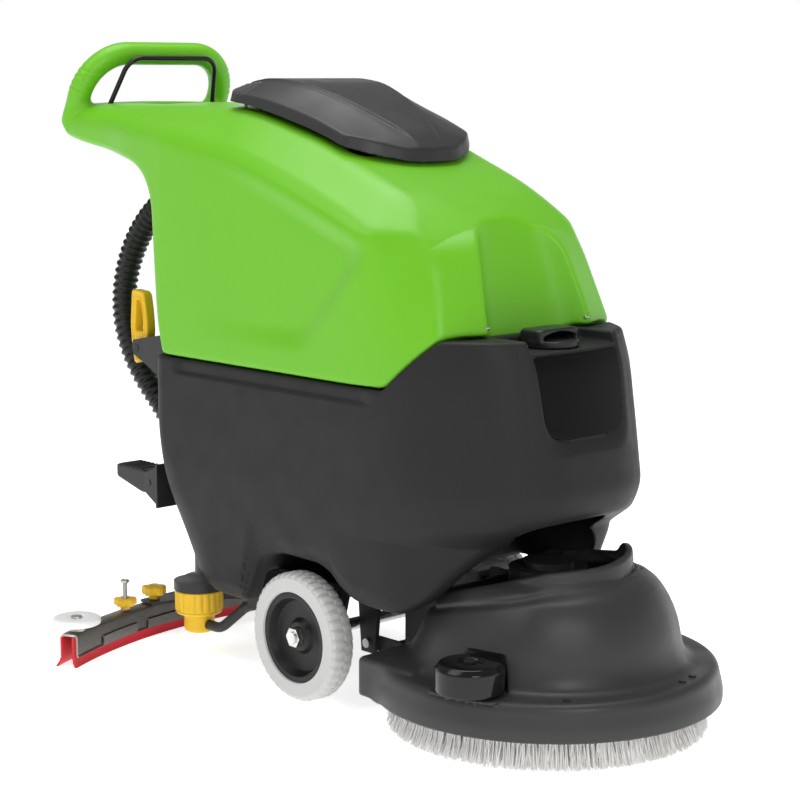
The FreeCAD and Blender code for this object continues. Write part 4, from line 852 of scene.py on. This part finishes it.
front_blade, _ = swept("front_blade_looks",
                       [(0.8125, 0.053), (0.8125, 0.016), (0.8105, 0.007), (0.8075, 0.0)],
                       [(0.8158, 0.053), (0.8158, 0.017), (0.8145, 0.008), (0.8112, 0.0)], -LIP_A, LIP_A, 97)
finish_piece(front_blade, blade_rubber, "squeegee", "red_rubber", "front_blade")
rear_blade, _ = swept("rear_blade_looks",
                      [(0.8342, 0.053), (0.8342, 0.018), (0.8372, 0.009), (0.8440, 0.0)],
                      [(0.8375, 0.053), (0.8375, 0.019), (0.8405, 0.011), (0.8475, 0.001)], -LIP_A, LIP_A, 97)
finish_piece(rear_blade, blade_rubber, "squeegee", "red_rubber", "rear_blade")
for place in range(-2, 3):
    clamp, clamp_ends = swept("blade_clamp_%d" % (place + 3),
                              [(0.8078, 0.036), (0.8040, 0.0345), (0.8040, 0.021), (0.8065, 0.0165)],
                              [(0.8080, 0.033), (0.8062, 0.032), (0.8062, 0.022), (0.8085, 0.0185)],
                              9.4 * place - 3.6, 9.4 * place + 3.6, 15)
    finish_piece(clamp, channel_steel, "squeegee", "channel_steel", *(["blade_clamps"] if place == 0 else []))
    bare_ends(clamp, clamp_ends)

# ---- end discs ----
# Thick discs of light grey plastic that run along walls, each on a stud through the
# channel, with a recessed middle.
DISC_R = 0.042
disc_plastic = moulded("light_grey_plastic", (0.85, 0.85, 0.86), 0.45, 500.0, 0.00012, 0.04)
disc_profile = rounded([(0.0062, 0.0), (0.036, 0.0), (DISC_R, 0.003), (DISC_R, 0.011), (0.0385, 0.014),
                        (0.0175, 0.0142), (0.0160, 0.0118), (0.0062, 0.0118)], 0.0018)
stud_profile = rounded([(0.0, 0.057), (0.014, 0.057), (0.013, 0.0675), (0.0058, 0.0675), (0.0058, 0.0798),
                        (0.0105, 0.0798), (0.0095, 0.0835), (0.0, 0.0840)], 0.0008)
for side, word in ((-1, "right"), (1, "left")):
    disc = turned("disc_%s_looks" % word, disc_profile, (arc_x(DISC_Y), side * DISC_Y, 0.068), 72)
    finish_piece(disc, disc_plastic, "disc_" + word, "light_grey", "disc_" + word)
    stud = turned("disc_stud_" + word, stud_profile, (arc_x(DISC_Y), side * DISC_Y, 0.0), 40)
    weld(stud)
    finish_piece(stud, cut_steel, "squeegee", "bright_steel")

# ---- star knobs ----
# Yellow moulded knobs with five lobes on a narrow neck. The inner two clamp the channel,
# and the outer two carry tall plated screws that set the height of the blades.


def star(name, x, y, low, radius, height):
    """Knob whose rings swell into five lobes: each ring has a radius and a share of the
    lobes, which follow a raised cosine of five times the angle."""
    rings = np.array([(0.0, 0.0, 0.0), (0.40, 0.0, 0.0), (0.42, 0.0, 0.04), (0.38, 0.0, 0.30),
                      (0.60, 0.10, 0.36), (0.76, 0.20, 0.38), (0.80, 0.20, 0.44), (0.80, 0.20, 0.90),
                      (0.76, 0.19, 0.97), (0.66, 0.16, 1.0), (0.34, 0.0, 1.0), (0.30, 0.0, 0.94),
                      (0.0, 0.0, 0.94)])
    angle = np.linspace(0.0, 2 * math.pi, 80, endpoint=False)
    lobes = np.clip(0.62 + 0.75 * np.cos(5 * angle), 0.0, 1.0) ** 0.8 - 0.35
    reach = radius * (rings[:, :1] + rings[:, 1:2] * lobes)
    points = np.stack([x + reach * np.cos(angle), y + reach * np.sin(angle),
                       low + height * rings[:, 2:] + 0 * reach], -1)
    obj = to_object(name, points, grid_faces(len(rings), len(angle)))
    weld(obj)
    smooth(obj, 40.0)
    return obj


yellow = moulded("yellow_plastic", (0.76, 0.47, 0.018), 0.36, 420.0, 0.00012, 0.05)
screw_z = np.linspace(0.047, 0.106, 119)
screw_r = 0.0037 + 0.0003 * (-1.0) ** np.arange(len(screw_z))
screw_profile = np.concatenate([[(0.0, 0.047)], np.stack([screw_r, screw_z], 1),
                                [(0.0055, 0.108), (0.0088, 0.1105), (0.0082, 0.1135), (0.0045, 0.1150),
                                 (0.0030, 0.1130), (0.0, 0.1130)]])
for side, word in ((-1, "right"), (1, "left")):
    knob = star("knob_%s_looks" % word, arc_x(KNOB_Y), side * KNOB_Y, 0.0625, 0.0245, 0.024)
    finish_piece(knob, yellow, "knob_" + word, "yellow", "knob_" + word)
    adjuster = star("adjuster_%s_looks" % word, arc_x(ADJUST_Y), side * ADJUST_Y, 0.0605, 0.0225, 0.020)
    finish_piece(adjuster, yellow, "adjuster_" + word, "yellow", "adjuster_" + word)
    screw = turned("adjuster_screw_" + word, screw_profile, (arc_x(ADJUST_Y), side * ADJUST_Y, 0.0), 24)
    weld(screw)
    finish_piece(screw, zinc, "adjuster_" + word, "bright_steel")
carrier_plastic = moulded("carrier_plastic", (0.024, 0.024, 0.025), 0.42, 500.0, 0.00015)
for node in ("squeegee_carrier", "suction_nozzle", "solution_valve", "filter_head"):
    paint_node(node, carrier_plastic)

# ---- solution filter ----
# Yellow bowl with a ribbed rim for the hand, screwed up into its black head under the
# tank. A black rubber pipe leads from it to the valve.
FILTER_AT = (-0.672, -0.180)


def ribbed(name, profile, centre, sides, ribs, depth, low, high):
    """Turned bowl whose radius dips between ribs over a band of its height."""
    angle = np.linspace(0.0, 2 * math.pi, sides, endpoint=False)[:, None]
    radius, height = profile[None, :, 0], profile[None, :, 1]
    dip = (step_up(height, low, low + 0.004) * (1 - step_up(height, high - 0.004, high))
           * (radius > 0.035) * (0.5 - 0.5 * np.cos(ribs * angle)) ** 2)
    reach = radius - depth * dip
    points = np.stack([reach * np.cos(angle), reach * np.sin(angle), height + 0 * angle], -1)
    obj = to_object(name, points + np.array(centre), grid_faces(sides, len(profile), close_rows=True))
    weld(obj)
    smooth(obj, 45.0)
    return obj


wall_heights = np.linspace(0.086, 0.119, 10)
bowl_foot = rounded([(0.0001, 0.045), (0.024, 0.045), (0.027, 0.050), (0.027, 0.074), (0.040, 0.079),
                     (0.0425, 0.084)], 0.003)
bowl_wall = np.stack([0 * wall_heights + 0.0425, wall_heights], 1)
bowl_inside = [(0.041, 0.1205), (0.0303, 0.1205), (0.0303, 0.100), (0.0001, 0.100), (0.0001, 0.045)]
bowl_profile = np.concatenate([bowl_foot[4:], bowl_wall, bowl_inside])
bowl = ribbed("filter_bowl_looks", bowl_profile, (*FILTER_AT, 0.0), 160, 20, 0.0022, 0.084, 0.120)
finish_piece(bowl, yellow, "filter_bowl", "yellow", "filter_bowl")
pipe_rubber = moulded("pipe_rubber", (0.030, 0.030, 0.031), 0.5, 300.0, 0.0002)
paint_node("solution_pipe", pipe_rubber)

# ---- lift pedal ----
# Black moulded pedal behind the tank, hinged in a steel bracket. Ribs across its top
# stop the foot from slipping when the brush head is raised.
PEDAL_AT = (-0.770, -0.180, 0.300)


def convex(u, v, outline, radius):
    """Inside of a convex outline that runs anticlockwise, its corners rounded."""
    points = np.asarray(outline, float)
    ways = np.roll(points, -1, axis=0) - points
    ways /= np.linalg.norm(ways, axis=1)[:, None]
    body = None
    for (u0, v0), (along_u, along_v) in zip(points, ways):
        side = along_v * (u - u0) - along_u * (v - v0)
        body = side if body is None else meet(body, side, radius)
    return body


def pedal_shape(x, y, z):
    """Wedge with a raised heel and shallow ribs, and a flatter tongue in front."""
    wedge = convex(x, z, [(-0.885, 0.297), (-0.800, 0.276), (-0.759, 0.290), (-0.759, 0.311), (-0.795, 0.320),
                          (-0.885, 0.320)], 0.004)
    ribs = 0.0016 * step_up(z, 0.312, 0.318) * step_up(-x, 0.800, 0.806) * np.cos(2 * math.pi * x / 0.012)
    cheeks = meet(np.abs(y - PEDAL_AT[1]) - 0.026, -x - 0.881, 0.006)
    return meet(wedge + ribs, cheeks, 0.005)


pedal = skin_of("lift_pedal_looks", pedal_shape, (-0.900, -0.216, 0.262), (-0.745, -0.144, 0.332), 0.0025)
pedal_plastic = moulded("pedal_plastic", (0.020, 0.020, 0.021), 0.44, 500.0, 0.00018)
finish_piece(pedal, pedal_plastic, "lift_pedal", "black_plastic", "lift_pedal")

# ---- squeegee lever ----
# Flat yellow moulded lever with a window for the fingers and a pointed tip, hinged in a
# steel bracket on the back of the tank. Pulled back, it raises the squeegee.
LEVER_AT = (-0.837, -0.170, 0.533)


def lever_shape(x, y, z):
    """Plate with rounded edges, its window with a raised rim, and a small hole at the tip."""
    u, v = x - LEVER_AT[0], z
    plate = convex(u, v, [(-0.017, 0.501), (0.014, 0.520), (0.024, 0.548), (0.023, 0.600), (0.014, 0.634),
                          (-0.022, 0.637), (-0.029, 0.561)], 0.008)
    window = convex(u, v, [(-0.014, 0.562), (0.010, 0.562), (0.009, 0.600), (0.000, 0.620), (-0.008, 0.620)],
                    0.005)
    hole = np.sqrt((u + 0.004) ** 2 + (v - 0.516) ** 2) - 0.004
    thin = 0.010 - 0.0025 * step_up(-plate, 0.004, 0.006) * step_up(window, 0.003, 0.005)
    body = meet(plate, np.abs(y - LEVER_AT[1]) - thin, 0.004)
    return meet(meet(body, -window, 0.004), -hole, 0.002)


lever = skin_of("squeegee_lever_looks", lever_shape, (-0.878, -0.186, 0.490), (-0.802, -0.154, 0.648), 0.002)
finish_piece(lever, yellow, "squeegee_lever", "yellow", "squeegee_lever")

# ---- tank catch ----
# Green moulded hook on the back of the recovery tank, beside the lever, by which the tank
# is tipped.


def catch_shape(x, y, z):
    """Hooked strip of even thickness: a stem, a shoulder and a lip that turns down."""
    stem = convex(x, z, [(-0.733, 0.600), (-0.722, 0.600), (-0.722, 0.640), (-0.735, 0.640)], 0.003)
    shoulder = convex(x, z, [(-0.762, 0.622), (-0.722, 0.622), (-0.726, 0.641), (-0.757, 0.637)], 0.004)
    lip = convex(x, z, [(-0.762, 0.600), (-0.750, 0.600), (-0.747, 0.630), (-0.760, 0.634)], 0.004)
    return meet(merge(merge(stem, shoulder, 0.004), lip, 0.004), np.abs(y + 0.144) - 0.007, 0.003)


catch = skin_of("tank_catch", catch_shape, (-0.772, -0.158, 0.590), (-0.712, -0.130, 0.652), 0.002)
finish_piece(catch, green, "recovery_tank", "green")

# ---- filler cap ----
# Black moulded cap in the notch of the ledge, with a hooded grip that opens forward. Its
# flange covers the filler neck, which holds a strainer.
CAP_Z = 0.600


def cap_shape(x, y, z):
    """Round flange with a fine edge, a plug below it and the hood, hollow from the front."""
    r = np.sqrt(x * x + y * y)
    flange = meet(r - 0.044, slab(z, CAP_Z + 0.0005, CAP_Z + 0.012, 0.003), 0.003)
    plug = meet(r - 0.034, slab(z, CAP_Z - 0.012, CAP_Z + 0.004, 0.002), 0.002)
    crown = 0.030 - 0.10 * np.maximum(np.abs(y) - 0.030, 0.0) - 0.05 * np.maximum(-x - 0.01, 0.0)
    hood = meet(meet(slab(x, -0.028, 0.020, 0.006), np.abs(y) - 0.044, 0.010),
                meet(CAP_Z + 0.006 - z, z - CAP_Z - crown, 0.005), 0.005)
    arch = 0.0245 - 0.006 * np.minimum(np.abs(y) / 0.034, 1.0) ** 2
    mouth = meet(meet(-0.019 - x, np.abs(y) - 0.036, 0.004),
                 meet(CAP_Z + 0.0125 - z, z - CAP_Z - arch, 0.003), 0.003)
    return meet(np.minimum(merge(flange, hood, 0.003), plug), -mouth, 0.002)


cap = skin_of("filler_cap_looks", cap_shape, (-0.052, -0.052, 0.580), (0.052, 0.052, 0.638), 0.002)
cap_plastic = moulded("cap_plastic", (0.016, 0.016, 0.017), 0.36, 400.0, 0.00012)
finish_piece(cap, cap_plastic, "filler_cap", "black_plastic", "filler_cap")

# ---- lid ----
# Dark grey moulded lid over the opening of the recovery tank: a steep rim all round, long
# side slopes and a raised middle with a crisp edge, hinged behind.


def lid_shape(x, y, z):
    """Rim, slopes and middle meeting in crisp edges, with grip steps at the rear corners,
    hollow below."""
    ay = np.abs(y)
    low = curve_through(x, [-0.620, -0.600, -0.414, -0.283, -0.256], [0.9725, 0.9715, 0.9320, 0.8855, 0.8745])
    crown = curve_through(x, [-0.618, -0.600, -0.560, -0.500, -0.420, -0.340, -0.290, -0.256],
                          [0.997, 1.005, 1.010, 1.005, 0.984, 0.949, 0.922, 0.902])
    ridge = curve_through(x, [-0.620, -0.500, -0.400, -0.330, -0.256], [0.108, 0.094, 0.072, 0.050, 0.020])
    rim = low + 0.016
    fall = (crown - 0.003 - rim) / (0.152 - ridge)
    slope = meet((z - crown + 0.003 + (ay - ridge) * fall) / np.sqrt(1 + fall ** 2), z - crown + 0.003, 0.004)
    middle = meet(z - crown, (ay - ridge + 0.003 - 0.5 * (crown - z)) * 0.9, 0.002)
    top = merge(slope, middle, 0.0015)
    plan = convex(x, ay, [(-0.614, -0.05), (-0.256, -0.05), (-0.256, 0.012), (-0.262, 0.055), (-0.290, 0.108),
                          (-0.325, 0.143), (-0.420, 0.149), (-0.590, 0.157), (-0.606, 0.150),
                          (-0.614, 0.120)], 0.006)
    steps = 0.0022 * np.cos(2 * math.pi * x / 0.011) * step_up(-x, 0.566, 0.572) * step_up(ay, 0.100, 0.112)
    outer = meet(top + steps, plan + 0.22 * (z - low), 0.003)
    front = (x + 0.300) * 0.62 + (z - 0.928) * 0.78 + 0.12 * np.maximum(ay - 0.03, 0.0)
    outer = meet(outer, front, 0.003)
    body = meet(outer, low - z, 0.002)
    return meet(body, -(outer + 0.006), 0.001)


lid = skin_of("tank_lid_looks", lid_shape, (-0.632, -0.168, 0.862), (-0.240, 0.168, 1.022), 0.003)
lid_plastic = moulded("dark_grey_plastic", (0.026, 0.0255, 0.0265), 0.40, 520.0, 0.00012)
finish_piece(lid, lid_plastic, "tank_lid", "lid_grey", "tank_lid")

# ---- small parts that stay as they are ----
# Hinges, bail, controls and the parts inside keep their shape from the model: bail and
# panel in black, switches in white, the motor of cast alloy, the batteries in grey cases.
bail_paint = moulded("bail_paint", (0.010, 0.010, 0.010), 0.22, 300.0, 0.00006, 0.05)
panel_plastic = moulded("panel_plastic", (0.018, 0.018, 0.019), 0.5, 900.0, 0.0002)
switch_plastic = moulded("switch_plastic", (0.66, 0.66, 0.64), 0.35, 500.0, 0.00008)
battery_plastic = moulded("battery_case", (0.075, 0.075, 0.080), 0.5, 400.0, 0.0002)
cast_alloy = metal("cast_alloy", (0.52, 0.53, 0.54), 0.45, (1.0, 1.0, 1.0), 0.00025)
spring_wire = metal("spring_wire", (0.66, 0.66, 0.65), 0.32, (6.0, 1.0, 1.0), 0.00004)
for node, material in (("bail_lever", bail_paint), ("control_panel", panel_plastic), ("key_switch", zinc),
                       ("switch_brush", switch_plastic), ("switch_vacuum", switch_plastic),
                       ("batteries", battery_plastic), ("vacuum_motor", cast_alloy),
                       ("float_cage", switch_plastic), ("lid_hinge", zinc), ("head_spring", spring_wire)):
    paint_node(node, material)
